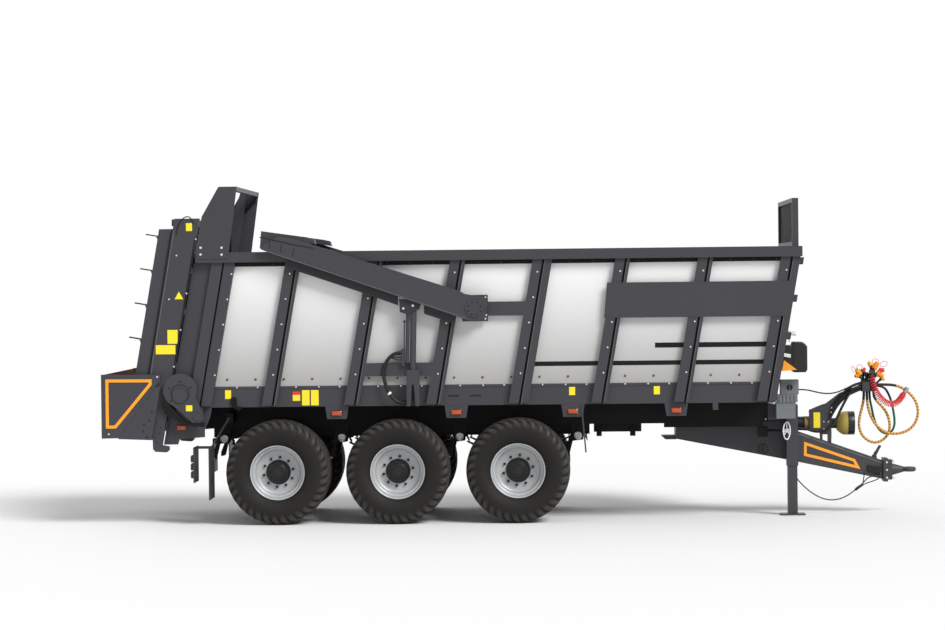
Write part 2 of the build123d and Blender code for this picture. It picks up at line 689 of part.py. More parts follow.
with BuildPart() as rim_form:
    flat_sided([(-rim_lip, rim_radius), (rim_lip, rim_radius), (rim_lip, 297), (190, 284), (175, 256),
                (disc_face, 245), (disc_face, 190), (disc_face - 12, 190), (disc_face - 12, 262),
                (-rim_lip, 290)], lug_count, hollow=True)
    flat_sided([(-80, 205), (disc_face, 205)], 16)
    flat_sided([(disc_face, hub_radius), (175, hub_radius), (192, 96)], 16)
    cross_rod(0, 0, stub_radius + play, (-80, disc_face + 25), mode=Mode.SUBTRACT)

for i, x in enumerate(axle_x):
    for turn, tag in ((0, "right"), (180, "left")):
        hub_place = Location((x, wheel_y if turn else -wheel_y, tyre_radius), (0, 0, 180 - turn))
        for form, name in ((tyre_form, "tyre"), (rim_form, "rim")):
            with BuildPart() as wheel_piece:
                add(form.part.moved(hub_place))
            save(wheel_piece, f"{name}_{tag}_{i + 1}")

# ---------------------------------------------------------------- front fittings
with BuildPart() as jack_column:
    x_column = (jack_x - jack_side / 2, jack_x + jack_side / 2)
    y_column = (jack_y - jack_side / 2, jack_y + jack_side / 2)
    block(x_column, y_column, (jack_low_z, jack_high_z))
    block((x_column[0] + jack_wall, x_column[1] - jack_wall), (y_column[0] + jack_wall, y_column[1] - jack_wall),
          (jack_low_z, jack_high_z - jack_wall), mode=Mode.SUBTRACT)
    block((jack_x - 45, jack_x + 45), (y_column[1], -drawbar_head_half), (1060, 1180))
save(jack_column, "jack_column")

with BuildPart() as jack_leg:
    leg_half = jack_side / 2 - jack_wall - play
    block((jack_x - leg_half, jack_x + leg_half), (jack_y - leg_half, jack_y + leg_half), (0, 790))
    block((jack_x - 140, jack_x + 140), (jack_y - 100, jack_y + 100), (0, 14))
save(jack_leg, "jack_leg")

with BuildPart() as handwheels:
    # the parking brake's box under the chassis, its spindle and its wheel
    block((2780, chassis_front_x), (-chassis_y - 50, -chassis_y + 50), (900, 1020))
    with Locations(Location((3113, -560, 972), (0, 0, brake_turn))):
        with Locations(Location((0, 0, 0), (0, -90, 0))):
            Cylinder(14, 262, align=(Align.CENTER, Align.CENTER, Align.MIN))
            Cylinder(26, 40)
        with BuildPart(mode=Mode.PRIVATE) as brake_wheel:
            with BuildSketch(Plane.YZ):
                RegularPolygon(107, 16)
                RegularPolygon(94, 16, mode=Mode.SUBTRACT)
                with PolarLocations(52, 3):
                    Rectangle(100, 12)
            extrude(amount=7, both=True)
        add(brake_wheel.part)
    # the small wheel on the drawbar's side
    cross_rod(2908, 767, 12, (-290, -drawbar_half(2908 - 12)))
    with BuildSketch(Plane.XZ.offset(276)):
        with Locations((2908, 767)):
            RegularPolygon(50, 12)
            RegularPolygon(41, 12, mode=Mode.SUBTRACT)
            Rectangle(88, 9)
    extrude(amount=9)
save(handwheels, "handwheels")

with BuildPart() as air_tank:
    long_rod(0, 1049, 100, (911, 1460))
    for x in (972, 1361):
        block((x - 30, x + 30), (-112, 112), (905, 1160))
save(air_tank, "air_tank")

with BuildPart() as oil_tank:
    side_plate([(shifted(front_edge_x, 1641), 1641), (3285, 1641), (3316, 1700), (3316, 1960), (3290, 1987),
                (shifted(front_edge_x, 1987), 1987)], (-900, -560))
    with Locations((3220, -730, 1987)):
        Cylinder(45, 40, align=(Align.CENTER, Align.CENTER, Align.MIN))
save(oil_tank, "oil_tank")

with BuildPart() as valve_block:
    block((3026, 3230), (-690, -520), (1388, 1555))
    cross_rod(3128, 1470, 34, (-690, -680), mode=Mode.SUBTRACT)
    block((2990, 3216), (-700, -500), (1300, 1388))
    for i in range(5):
        block((3010 + 42 * i, 3026 + 42 * i), (-712, -700), (1306, 1382))
    block((2977, 3192), (-690, -chassis_y - 50), (1116, 1300))
save(valve_block, "valve_block")

with BuildPart() as pto_shaft:
    long_rod(0, pto_z, 84, (drawbar_head_x, 3520))
    long_rod(0, pto_z, 60, (3520, 3711))
    with BuildSketch(Plane(origin=(3711, 0, pto_z), z_dir=(1, 0, 0))) as cone_root:
        RegularPolygon(76, 20)
    with BuildSketch(Plane(origin=(3849, 0, pto_z), z_dir=(1, 0, 0))) as cone_mouth:
        RegularPolygon(136, 20)
    loft([cone_root.sketch, cone_mouth.sketch])
    with BuildSketch(Plane(origin=(3849, 0, pto_z), z_dir=(1, 0, 0))):
        RegularPolygon(136, 20)
    extrude(amount=69)
    with BuildSketch(Plane(origin=(3918, 0, pto_z), z_dir=(1, 0, 0))):
        RegularPolygon(116, 20)
    extrude(amount=-95, mode=Mode.SUBTRACT)
    long_rod(0, pto_z, 38, (3823, 3900))
save(pto_shaft, "pto_shaft")

# The mast stands on the drawbar and carries the holder where the hoses are parked.
with BuildPart() as hose_mast:
    y_mast = (-99, -91)
    side_plate([(3388, 1184), (3537, 1246), (3641, 1274), (3649, 917), (3645, drawbar_top(3645)),
                (3600, drawbar_top(3600)), (3600, 900), (3545, 900), (3545, drawbar_top(3545)),
                (3515, drawbar_top(3515)), (3511, 918), (3397, 954)], y_mast)
    side_plate([(3560, 1240), (3641, 1200), (3760, 1330), (holder_x, 1432), (holder_x, 1476), (3740, 1376)],
               (-99, -83))
    block((holder_x, holder_x + 80), (-185, 90), (1400, 1500))
    block((holder_x + 80, holder_x + 170), (-112, 90), (1400, 1500))
    block((holder_x + 82, holder_x + 148), (-112, -96), (1500, 1640))
    block((holder_x + 82, holder_x + 148), (-185, -96), (1600, 1640))
    for x, z in ((4015, 1646), (4060, 1610), (4105, 1600)):
        with Locations((x, -60, 1500)):
            Cylinder(19, z - 1500, align=(Align.CENTER, Align.CENTER, Align.MIN))
save(hose_mast, "hose_mast")

with BuildPart() as right_lamps:
    for x in marker_x:
        block((x - 55, x + 55), (-wall_out - 30, -wall_out - 8), (1218, 1262))
    block((-3793, -3692), (-wall_out - 20, -wall_out), (1068, 1122))
    # the carrier of the tail lamps and the flap behind the last wheel
    side_plate([(-3245, 1190), (-3215, 1190), (-3415, 880), (-3415, 840), (-3600, 840), (-3600, 870),
                (-3440, 870)], (-820, -800))
    block((-3612, -3600), (-1100, -700), (470, 870))
    blocks([(-3626, -1010, 560), (-3626, -1010, 650), (-3626, -1010, 740)], (28, 130, 76))
    block((-3425, -3415), (-1210, -740), (283, 870))
with BuildPart() as lamps:
    both(right_lamps)
save(lamps, "lamps")

# ---------------------------------------------------------------- cords
cord([(3128, -195, 878), (3128, -195, 760), (3142, -200, 640), (3165, -205, 530), (3215, -205, 430),
      (3290, -205, 335), (3385, -205, 250), (3495, -205, 180), (3615, -205, 148), (3735, -205, 162),
      (3840, -200, 215), (3925, -185, 280), (4005, -155, 345), (4070, -120, 415), (4140, -120, 415)],
     14, "safety_cable")
cord([(4170, -70, 1468), (4270, -70, 1468), (4370, -70, 1462), (4465, -70, 1432), (4545, -70, 1372),
      (4610, -70, 1295), (4645, -70, 1205), (4645, -70, 1105), (4610, -70, 1010), (4540, -70, 940),
      (4440, -70, 902), (4330, -70, 898), (4230, -70, 938), (4150, -70, 1015), (4098, -70, 1115),
      (4070, -70, 1215), (4060, -70, 1310), (4060, -70, 1400)], 32, "hose_yellow_a")
cord([(4030, -25, 1400), (4030, -25, 1310), (4010, -25, 1210), (3982, -25, 1110), (3968, -25, 1005),
      (3990, -25, 905), (4055, -25, 830), (4145, -25, 792), (4235, -25, 815), (4305, -25, 885),
      (4330, -25, 985), (4312, -25, 1090), (4265, -25, 1185), (4190, -25, 1262), (4140, -25, 1330),
      (4140, -25, 1400)], 32, "hose_yellow_b")
cord([(4100, 20, 1400), (4100, 20, 1305), (4122, 20, 1205), (4140, 20, 1105), (4168, 20, 1010),
      (4214, 20, 932), (4283, 20, 893), (4350, 20, 915), (4384, 20, 982), (4386, 20, 1066), (4374, 20, 1152),
      (4356, 20, 1245), (4328, 20, 1340), (4265, 20, 1450), (4170, 20, 1450)], 28, "hose_green")
cord([(4115, -150, 1600), (4115, -150, 1505), (4148, -150, 1408), (4205, -150, 1318), (4290, -150, 1245),
      (4380, -150, 1245), (4440, -150, 1305), (4485, -150, 1380)], 62, "coil_cable")
cord([(3247, -140, 975), (3340, -140, 975), (3445, -152, 935), (3550, -165, 938), (3640, -165, 990),
      (3700, -165, 1078), (3745, -165, 1180), (3800, -165, 1285), (3850, -158, 1370), (3920, -150, 1450),
      (4000, -150, 1450)], 30, "hose_lower")
cord([(3230, -600, 1440), (3320, -600, 1440), (3420, -530, 1412), (3520, -460, 1388), (3620, -380, 1382),
      (3715, -300, 1398), (3800, -235, 1430), (3900, -165, 1475), (4000, -165, 1475)], 16, "control_line")

with BuildPart(Plane(origin=(4485, -150, 1380), z_dir=(45, 0, 75))) as coil_plug:
    Cylinder(26, 62, align=(Align.CENTER, Align.CENTER, Align.MIN))
save(coil_plug, "coil_plug")

for side, tag in ((-1, "right"), (1, "left")):
    y_hose = side * (board_y + 24)
    cord([(-1245, y_hose, 1915), (-1320, y_hose, 1915), (-1390, y_hose, 1860), (-1435, y_hose, 1785),
          (-1450, y_hose, 1695), (-1440, y_hose, 1600), (-1410, y_hose, 1510), (-1355, y_hose, 1415),
          (-1275, y_hose, 1352), (-1187, y_hose, 1352)], 40, f"cylinder_hose_{tag}")
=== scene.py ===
"""Looks of a three-axle manure spreader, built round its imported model."""

import math

import bmesh
import bpy
import numpy as np
from mathutils import Matrix, Vector


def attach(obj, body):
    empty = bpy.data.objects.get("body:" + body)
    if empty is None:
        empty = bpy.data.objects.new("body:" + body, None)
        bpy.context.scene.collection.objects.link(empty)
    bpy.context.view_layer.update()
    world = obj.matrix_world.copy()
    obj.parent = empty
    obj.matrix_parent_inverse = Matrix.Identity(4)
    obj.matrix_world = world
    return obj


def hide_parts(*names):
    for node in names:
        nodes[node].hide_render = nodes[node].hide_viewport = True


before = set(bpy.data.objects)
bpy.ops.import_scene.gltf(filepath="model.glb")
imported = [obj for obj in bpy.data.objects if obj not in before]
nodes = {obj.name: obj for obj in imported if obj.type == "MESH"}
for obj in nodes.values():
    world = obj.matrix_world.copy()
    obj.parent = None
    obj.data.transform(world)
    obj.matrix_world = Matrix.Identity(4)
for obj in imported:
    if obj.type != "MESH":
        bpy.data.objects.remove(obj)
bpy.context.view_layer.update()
SIDES = (("right", -1), ("left", 1))

# Sizes of the machine that the pieces below repeat, in metres; faces are distances from the middle plane
AXLES = (-2.65, -1.3, 0.05)
WHEEL_Y = 0.975
TYRE_RADIUS = 0.586
LEAN = math.tan(math.radians(10))
SILL_LOW = 1.318
WALL_OUT = 1.06
POST_OUT = 1.13
COLUMN_OUT = 1.155
COVER_OUT = 1.2095
GUARD_OUT = 1.225
ARM_OUT = 1.260
CYLINDER_Y = 1.178
FIRST_POST = -2.829
BAY = 0.926
PAINT_THICK = 0.0015
SMOOTH = 40


# ---------------------------------------------------------------- meshes
def add_mesh(name, verts, faces, material, smooth_angle=None):
    """A mesh object at the origin, with its place in its vertices."""
    mesh = bpy.data.meshes.new(name)
    mesh.from_pydata(np.asarray(verts).reshape(-1, 3).tolist(), [], faces)
    working = bmesh.new()
    working.from_mesh(mesh)
    bmesh.ops.remove_doubles(working, verts=working.verts, dist=1e-6)
    bmesh.ops.recalc_face_normals(working, faces=working.faces)
    working.to_mesh(mesh)
    working.free()
    if smooth_angle is not None:
        smooth_faces(mesh, smooth_angle)
    mesh.materials.append(material)
    obj = bpy.data.objects.new(name, mesh)
    bpy.context.scene.collection.objects.link(obj)
    return obj


def smooth_faces(mesh, angle):
    mesh.polygons.foreach_set("use_smooth", np.ones(len(mesh.polygons), dtype=bool))
    mesh.set_sharp_from_angle(angle=math.radians(angle))


def ride(piece, body="frame"):
    """Puts a piece on a body and hands it back."""
    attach(piece, body)
    return piece


def move_points(piece, place_of):
    """Moves a piece's vertices to where a function of their (n, 3) array puts them."""
    spots = np.empty(3 * len(piece.data.vertices))
    piece.data.vertices.foreach_get("co", spots)
    piece.data.vertices.foreach_set("co", place_of(spots.reshape(-1, 3)).ravel())


def mark_points(piece, name, values):
    """A value for each vertex, for a material to read; left out if doubled vertices were merged away."""
    if len(piece.data.vertices) == values.size:
        mark = piece.data.attributes.new(name, "FLOAT", "POINT")
        mark.data.foreach_set("value", values.ravel().astype(np.float32))


def grid_faces(rows, columns, wrap_rows=False, wrap_columns=False):
    """The quads of a grid of points, row by row, closed round either way if asked."""
    i = np.arange(rows if wrap_rows else rows - 1)[:, None]
    j = np.arange(columns if wrap_columns else columns - 1)[None, :]
    next_i = (i + 1) % rows
    next_j = (j + 1) % columns
    quads = [i * columns + j, next_i * columns + j, next_i * columns + next_j, i * columns + next_j]
    return np.stack(quads, -1).reshape(-1, 4).tolist()


def circle(count):
    return np.linspace(0, 2 * np.pi, count, endpoint=False)


def turned(name, profile, place, material, axis="Y", steps=72, closed=False, smooth_angle=SMOOTH):
    """A profile of (radius, distance along the axis) turned round that axis through a place."""
    profile = np.asarray(profile, float)
    angle = circle(steps)[:, None]
    parts = [profile[None, :, 0] * np.cos(angle), profile[None, :, 0] * np.sin(angle)]
    parts.insert("XYZ".index(axis), profile[None, :, 1] + 0 * angle)
    faces = grid_faces(steps, len(profile), True, closed)
    return add_mesh(name, np.stack(parts, -1) + np.asarray(place), faces, material, smooth_angle)


def rectangle(x, z):
    return [(x[0], z[0]), (x[1], z[0]), (x[1], z[1]), (x[0], z[1])]


def prism(name, outline, y, material):
    """A flat plate: an outline of (x, z) between two Y values."""
    outline = np.asarray(outline, float)
    count = len(outline)
    ring = np.stack([outline[:, 0], np.full(count, y[0]), outline[:, 1]], -1)
    verts = np.concatenate([ring, ring + (0, y[1] - y[0], 0)])
    k = np.arange(count)
    sides = np.stack([k, (k + 1) % count, (k + 1) % count + count, k + count], -1).tolist()
    return add_mesh(name, verts, sides + [k.tolist(), (k + count).tolist()], material)


def plate(name, outline, y, side, material, body="frame"):
    """A prism on one side of the machine, between two distances from the middle plane."""
    return ride(prism(name, outline, (side * y[0], side * y[1]), material), body)


def laid_plate(name, outline, face, side, material, thick=PAINT_THICK):
    """A plate laid on a side face and sunk 1 mm into it, standing out by its thickness."""
    return plate(name, outline, (face - 0.001, face + thick), side, material)


def band(name, outline, width, y, material):
    """A closed stripe of even width just inside an outline of (x, z), between two Y values."""
    outline = np.asarray(outline, float)
    before = outline - np.roll(outline, 1, axis=0)
    after = np.roll(outline, -1, axis=0) - outline
    before /= np.linalg.norm(before, axis=1)[:, None]
    after /= np.linalg.norm(after, axis=1)[:, None]
    following = np.roll(outline, -1, axis=0)
    turn = np.sign(np.sum(outline[:, 0] * following[:, 1] - following[:, 0] * outline[:, 1]))
    normal = turn * np.stack([-before[:, 1] - after[:, 1], before[:, 0] + after[:, 0]], -1)
    normal /= 1 + np.sum(before * after, axis=1)[:, None]
    inner = outline + width * normal
    count = len(outline)
    loops = [np.stack([ring[:, 0], np.full(count, level), ring[:, 1]], -1)
             for level in y for ring in (outline, inner)]
    verts = np.concatenate([loops[0], loops[1], loops[3], loops[2]])
    return add_mesh(name, verts, grid_faces(4, count, True, True), material)


def copies(name, template, faces, places, material, body="frame"):
    """Many copies of one small form, moved to their places, as one mesh."""
    template = np.asarray(template, float)
    places = np.asarray(places, float)
    verts = places[:, None, :] + template[None, :, :]
    all_faces = [[k + len(template) * n for k in face] for n in range(len(places)) for face in faces]
    return ride(add_mesh(name, verts, all_faces, material), body)


def bolt_form(size, height, side):
    """A six-sided head with a rounded rim, standing out along Y: (verts, faces)."""
    angle = np.arange(6) * np.pi / 3
    rings = [(size, 0.0), (size, 0.7 * height), (0.8 * size, height)]
    verts = [(radius * math.cos(a), side * rise, radius * math.sin(a)) for radius, rise in rings for a in angle]
    faces = grid_faces(3, 6, False, True) + [list(range(12, 18))]
    return np.array(verts), faces


def bolts(name, places, face, side, size, material, body="frame"):
    """Small six-sided heads, 8 mm high, on a side face at (x, z) places."""
    spots = [(x, side * face, z) for x, z in places]
    return copies(name, *bolt_form(size, 0.008, side), spots, material, body)


def bevel(piece, width, segments):
    rounding = piece.modifiers.new("rounding", "BEVEL")
    rounding.width = width
    rounding.segments = segments


# ---------------------------------------------------------------- lines and tubes
def nurbs_curve(name, route):
    """A curve of order 3 pulled by a route's control points, from the first to the last."""
    curve = bpy.data.curves.new(name, "CURVE")
    curve.dimensions = "3D"
    curve.resolution_u = 16
    spline = curve.splines.new("NURBS")
    spline.points.add(len(route) - 1)
    for point, place in zip(spline.points, route):
        point.co = (*place, 1)
    spline.order_u = 3
    spline.use_endpoint_u = True
    return curve


def smooth_line(route):
    """Points of the curve that a route's control points pull."""
    holder = bpy.data.objects.new("line", nurbs_curve("line", route))
    mesh = bpy.data.meshes.new_from_object(holder)
    points = np.empty(3 * len(mesh.vertices))
    mesh.vertices.foreach_get("co", points)
    bpy.data.objects.remove(holder)
    return points.reshape(-1, 3)


def even_points(points, step):
    """The same line with points an even step apart, and the distance of each from the start."""
    along = np.concatenate([[0], np.cumsum(np.linalg.norm(np.diff(points, axis=0), axis=1))])
    count = max(8, int(along[-1] / step))
    distance = np.linspace(0, along[-1], count)
    return np.stack([np.interp(distance, along, points[:, k]) for k in range(3)], -1), distance


def cross_axes(points):
    """Two unit directions across a line at each of its points, the first as near Y as it can be."""
    tangent = np.gradient(points, axis=0)
    tangent /= np.linalg.norm(tangent, axis=1)[:, None]
    across = np.array([0.0, 1.0, 0.0]) - tangent[:, 1:2] * tangent
    across /= np.linalg.norm(across, axis=1)[:, None]
    return across, np.cross(tangent, across)


def sweep_tube(name, points, radius, material, around=14, distance=None):
    """A tube along points. Its radius is a number, or a function of the distance along it, which is a share
    of its length unless given, and of the angle round it."""
    count = len(points)
    distance = np.linspace(0, 1, count) if distance is None else distance
    across, upward = cross_axes(points)
    angle = circle(around)
    size = radius(distance[:, None], angle[None, :]) if callable(radius) else np.full((count, around), radius)
    ring = np.cos(angle)[None, :, None] * across[:, None, :] + np.sin(angle)[None, :, None] * upward[:, None, :]
    verts = points[:, None, :] + size[..., None] * ring
    ends = [list(range(around)), [around * (count - 1) + k for k in range(around)]]
    return add_mesh(name, verts, grid_faces(count, around, False, True) + ends, material, 50)


# ---------------------------------------------------------------- finishes
def new_group(name, inputs):
    """A shader group with float sockets in, {name: default}, and one float, Mask, out."""
    group = bpy.data.node_groups.new(name, "ShaderNodeTree")
    for socket, value in inputs.items():
        group.interface.new_socket(socket, in_out="INPUT", socket_type="NodeSocketFloat").default_value = value
    group.interface.new_socket("Mask", in_out="OUTPUT", socket_type="NodeSocketFloat")
    return group, group.nodes.new("NodeGroupInput"), group.nodes.new("NodeGroupOutput")


def feed(tree, socket, value):
    """Links a socket's value, or sets a constant."""
    if isinstance(value, bpy.types.NodeSocket):
        tree.links.new(value, socket)
    else:
        socket.default_value = value


def math_node(tree, operation, *values, clamp=False):
    node = tree.nodes.new("ShaderNodeMath")
    node.operation = operation
    node.use_clamp = clamp
    for socket, value in zip(node.inputs, values):
        feed(tree, socket, value)
    return node.outputs[0]


def object_place(tree):
    return tree.nodes.new("ShaderNodeTexCoord").outputs["Object"]


def split_place(tree):
    """The X, Y and Z of Object coordinates, as sockets."""
    split = tree.nodes.new("ShaderNodeSeparateXYZ")
    tree.links.new(object_place(tree), split.inputs[0])
    return split.outputs


def noise_node(tree, scale, detail=3):
    """Noise over Object coordinates at a scale that may come from a socket."""
    node = tree.nodes.new("ShaderNodeTexNoise")
    node.inputs["Detail"].default_value = detail
    tree.links.new(object_place(tree), node.inputs["Vector"])
    feed(tree, node.inputs["Scale"], scale)
    return node.outputs["Fac"]


def mark_node(tree, name):
    """A piece's own value for each vertex, by its name."""
    node = tree.nodes.new("ShaderNodeAttribute")
    node.attribute_name = name
    return node.outputs["Fac"]


def mix_colours(tree, factor, first, second):
    node = tree.nodes.new("ShaderNodeMix")
    node.data_type = "RGBA"
    tree.links.new(factor, node.inputs["Factor"])
    for socket, value in ((node.inputs[6], first), (node.inputs[7], second)):
        feed(tree, socket, (*value, 1) if isinstance(value, tuple) else value)
    return node.outputs[2]


def build_mottle():
    """Slow uneven shading of a finish: a broad noise and a fine one, added and spread about 0.5."""
    group, entry, leave = new_group("mottle", {"Broad": 1.5, "Fine": 60.0})
    broad = math_node(group, "MULTIPLY", noise_node(group, entry.outputs["Broad"]), 0.7)
    fine = math_node(group, "MULTIPLY", noise_node(group, entry.outputs["Fine"]), 0.3)
    group.links.new(math_node(group, "ADD", broad, fine), leave.inputs["Mask"])
    return group


def build_road_dust():
    """Dust that thickens towards the ground: a fall from a given height, broken up by noise."""
    group, entry, leave = new_group("road_dust", {"Height": 1.2, "Amount": 0.5})
    drop = math_node(group, "SUBTRACT", entry.outputs["Height"], split_place(group)["Z"])
    depth = math_node(group, "DIVIDE", drop, entry.outputs["Height"], clamp=True)
    broken = math_node(group, "MULTIPLY", depth, noise_node(group, 9.0, 6))
    group.links.new(math_node(group, "MULTIPLY", broken, entry.outputs["Amount"], clamp=True),
                    leave.inputs["Mask"])
    return group


MOTTLE = build_mottle()
ROAD_DUST = build_road_dust()


def group_mask(tree, group, **values):
    node = tree.nodes.new("ShaderNodeGroup")
    node.node_tree = group
    for socket, value in values.items():
        node.inputs[socket].default_value = value
    return node.outputs["Mask"]


def shader_material(name):
    """A new material, its node tree and its shader."""
    material = bpy.data.materials.new(name)
    material.use_nodes = True
    return material, material.node_tree, material.node_tree.nodes["Principled BSDF"]


def finish(name, light, dark, roughness, metallic=0.0, coat=0.0, broad=1.5, fine=60.0, grain=0.0,
           grain_scale=700.0, dust=0.0, dust_height=1.2, rough_spread=0.1, dust_colour=(0.16, 0.14, 0.12),
           shine=0.5):
    """A finish between two near colours, each (r, g, b) or one grey, with uneven gloss, a fine grain and road
    dust low down."""
    light, dark = (colour if isinstance(colour, tuple) else (colour,) * 3 for colour in (light, dark))
    material, tree, shader = shader_material(name)
    shader.inputs["Metallic"].default_value = metallic
    shader.inputs["Coat Weight"].default_value = coat
    shader.inputs["Specular IOR Level"].default_value = shine
    mottle = group_mask(tree, MOTTLE, Broad=broad, Fine=fine)
    colour = mix_colours(tree, mottle, dark, light)
    gloss = math_node(tree, "MULTIPLY_ADD", mottle, rough_spread, roughness - rough_spread / 2)
    if dust:
        dirt = group_mask(tree, ROAD_DUST, Height=dust_height, Amount=dust)
        colour = mix_colours(tree, dirt, colour, dust_colour)
        gloss = math_node(tree, "ADD", gloss, math_node(tree, "MULTIPLY", dirt, 0.4), clamp=True)
    tree.links.new(colour, shader.inputs["Base Color"])
    tree.links.new(gloss, shader.inputs["Roughness"])
    if grain:
        bump = tree.nodes.new("ShaderNodeBump")
        bump.inputs["Strength"].default_value = grain
        bump.inputs["Distance"].default_value = 0.001
        tree.links.new(noise_node(tree, grain_scale, 2), bump.inputs["Height"])
        tree.links.new(bump.outputs["Normal"], shader.inputs["Normal"])
    return material


def recolour(material, colour_of):
    """Feeds the shader's colour with what a function of (tree, the colour so far) returns."""
    tree = material.node_tree
    socket = tree.nodes["Principled BSDF"].inputs["Base Color"]
    tree.links.new(colour_of(tree, socket.links[0].from_socket), socket)
    return material


def wall_painted_light(tree, _plain):
    """Painted light: the sheet is brighter towards the top of the body and a soft grey at its foot."""
    ramp = tree.nodes.new("ShaderNodeValToRGB")
    ramp.color_ramp.elements[0].color = (0.365, 0.36, 0.355, 1)
    ramp.color_ramp.elements[1].color = (0.88, 0.88, 0.88, 1)
    above_foot = math_node(tree, "SUBTRACT", split_place(tree)["Z"], 1.5)
    height = math_node(tree, "DIVIDE", above_foot, 1.35, clamp=True)
    shift = math_node(tree, "MULTIPLY_ADD", group_mask(tree, MOTTLE, Broad=0.8, Fine=12.0), 0.08, -0.04)
    tree.links.new(math_node(tree, "ADD", height, shift, clamp=True), ramp.inputs["Fac"])
    return ramp.outputs["Color"]


def sheen_and_worn_bars(tree, plain):
    """The tread bars' tops are lighter, partly from wear and partly as a painted highlight where light catches
    them, by the bar height that the tyre's mesh carries.
    """
    sheen_and_scuffs = math_node(tree, "MULTIPLY", noise_node(tree, 38.0, 5), 1.3)
    share = math_node(tree, "MULTIPLY", mark_node(tree, "bar_sheen_wear"), sheen_and_scuffs, clamp=True)
    return mix_colours(tree, share, plain, (0.066, 0.060, 0.054))


def wrap_turns(tree, plain):
    """Black turns between the coloured ones of a spiral wrap, and plain black near the holder."""
    turns = math_node(tree, "GREATER_THAN", mark_node(tree, "wind"), 0.72)
    place = split_place(tree)
    high = math_node(tree, "GREATER_THAN", place["Z"], 1.292)
    near = math_node(tree, "LESS_THAN", place["X"], 4.40)
    dark_share = math_node(tree, "MAXIMUM", turns, math_node(tree, "MULTIPLY", high, near))
    return mix_colours(tree, dark_share, plain, (0.010, 0.009, 0.008))


BODY_PAINT = finish("graphite_paint", (0.052, 0.050, 0.058), (0.043, 0.0415, 0.047), 0.46, grain=0.05,
                    shine=0.28, dust=0.12, dust_height=1.3)
CHASSIS_PAINT = finish("chassis_black", (0.0085, 0.0085, 0.008), 0.005, 0.5, grain=0.05, shine=0.12,
                       dust=0.10, dust_height=1.0)
# A darker grey for the arm's painted shadow below it and for the bracket in that shadow
ARM_SHADOW_PAINT = finish("arm_painted_shadow", (0.036, 0.035, 0.040), (0.028, 0.027, 0.030), 0.5, grain=0.05, shine=0.2)
# A lighter grey for edges and lips that catch the light: a painted highlight
EDGE_HIGHLIGHT = finish("edge_highlight", (0.16, 0.16, 0.155), 0.09, 0.5, broad=9.0, shine=0.3)
# the side walls' sheet, whose colour carries painted light, brighter towards the top
WALL_SHEET = recolour(finish("wall_sheet", 0.5, 0.48, 0.45, broad=0.6, rough_spread=0.06, shine=0.25),
                      wall_painted_light)
WORKING_STEEL = finish("working_steel", (0.075, 0.050, 0.040), (0.035, 0.022, 0.018), 0.6, metallic=0.3,
                       broad=5.0, fine=120.0, rough_spread=0.3, shine=0.3)
RED_BROWN = finish("red_brown_steel", (0.07, 0.018, 0.010), (0.03, 0.008, 0.005), 0.6, broad=6.0, shine=0.3)
RUBBER = recolour(finish("tyre_rubber", (0.016, 0.0148, 0.0135), (0.0075, 0.007, 0.0065), 0.6, broad=7.0,
                         fine=160.0, grain=0.3, grain_scale=300.0, dust=0.07, dust_height=1.1,
                         dust_colour=(0.09, 0.07, 0.055), shine=0.2, rough_spread=0.3), sheen_and_worn_bars)
SILVER = finish("wheel_silver", (0.47, 0.48, 0.49), (0.36, 0.37, 0.38), 0.36, metallic=0.12, broad=4.0,
                dust=0.15, dust_height=0.9, shine=0.4)
HUB_BLACK = finish("hub_black", 0.009, 0.005, 0.30, broad=9.0, shine=0.35)
BARE_STEEL = finish("bare_steel", 0.42, 0.30, 0.34, metallic=0.85, broad=9.0)
CAST_GREY = finish("cast_grey", (0.18, 0.20, 0.21), (0.12, 0.13, 0.14), 0.55, broad=12.0, fine=220.0,
                   grain=0.5, grain_scale=300.0)
ZINC = finish("zinc_bolt", (0.75, 0.75, 0.73), (0.6, 0.6, 0.58), 0.35, metallic=0.6, broad=20.0)
DARK_BOLT = finish("dark_bolt", 0.014, 0.009, 0.45, broad=20.0, shine=0.3)
RUSTY_BOLT = finish("rusty_bolt", (0.16, 0.05, 0.05), (0.09, 0.03, 0.03), 0.5, broad=30.0)
BLACK_BAND = finish("black_band", 0.006, 0.004, 0.45, broad=6.0, shine=0.2)
BLACK_PLASTIC = finish("black_plastic", (0.011, 0.010, 0.009), (0.007, 0.006, 0.006), 0.34, grain=0.15,
                       shine=0.4)
WHEEL_WHITE = finish("white_fitting", (0.85, 0.85, 0.84), (0.74, 0.74, 0.73), 0.4, broad=16.0)
BLACK_HOSE = finish("black_hose", 0.010, 0.007, 0.42, grain=0.2, broad=12.0, shine=0.35)
CABLE_STEEL = finish("cable_steel", (0.055, 0.055, 0.045), (0.03, 0.03, 0.025), 0.5, broad=30.0, shine=0.3)
YELLOW_WRAP = recolour(finish("yellow_wrap", (0.80, 0.42, 0.07), (0.60, 0.28, 0.04), 0.42, broad=14.0,
                              grain=0.1, shine=0.35), wrap_turns)
GREEN_WRAP = recolour(finish("green_wrap", (0.015, 0.17, 0.09), (0.008, 0.09, 0.05), 0.42, broad=14.0,
                             grain=0.1, shine=0.35), wrap_turns)
RED_COIL = finish("red_coil", (0.80, 0.03, 0.04), (0.62, 0.02, 0.04), 0.3, coat=0.3, broad=14.0)
ORANGE_CAP = finish("orange_cap", (0.95, 0.34, 0.02), (0.85, 0.22, 0.015), 0.4, broad=30.0)
CAP_YELLOW = finish("cap_yellow", (0.95, 0.50, 0.02), (0.75, 0.34, 0.015), 0.4, broad=30.0)
GUARD_YELLOW = finish("guard_yellow", (0.42, 0.32, 0.065), (0.30, 0.22, 0.045), 0.45, broad=8.0, grain=0.1)
BROWN_BAND = finish("brown_band", (0.36, 0.20, 0.06), (0.14, 0.075, 0.02), 0.45, broad=30.0)
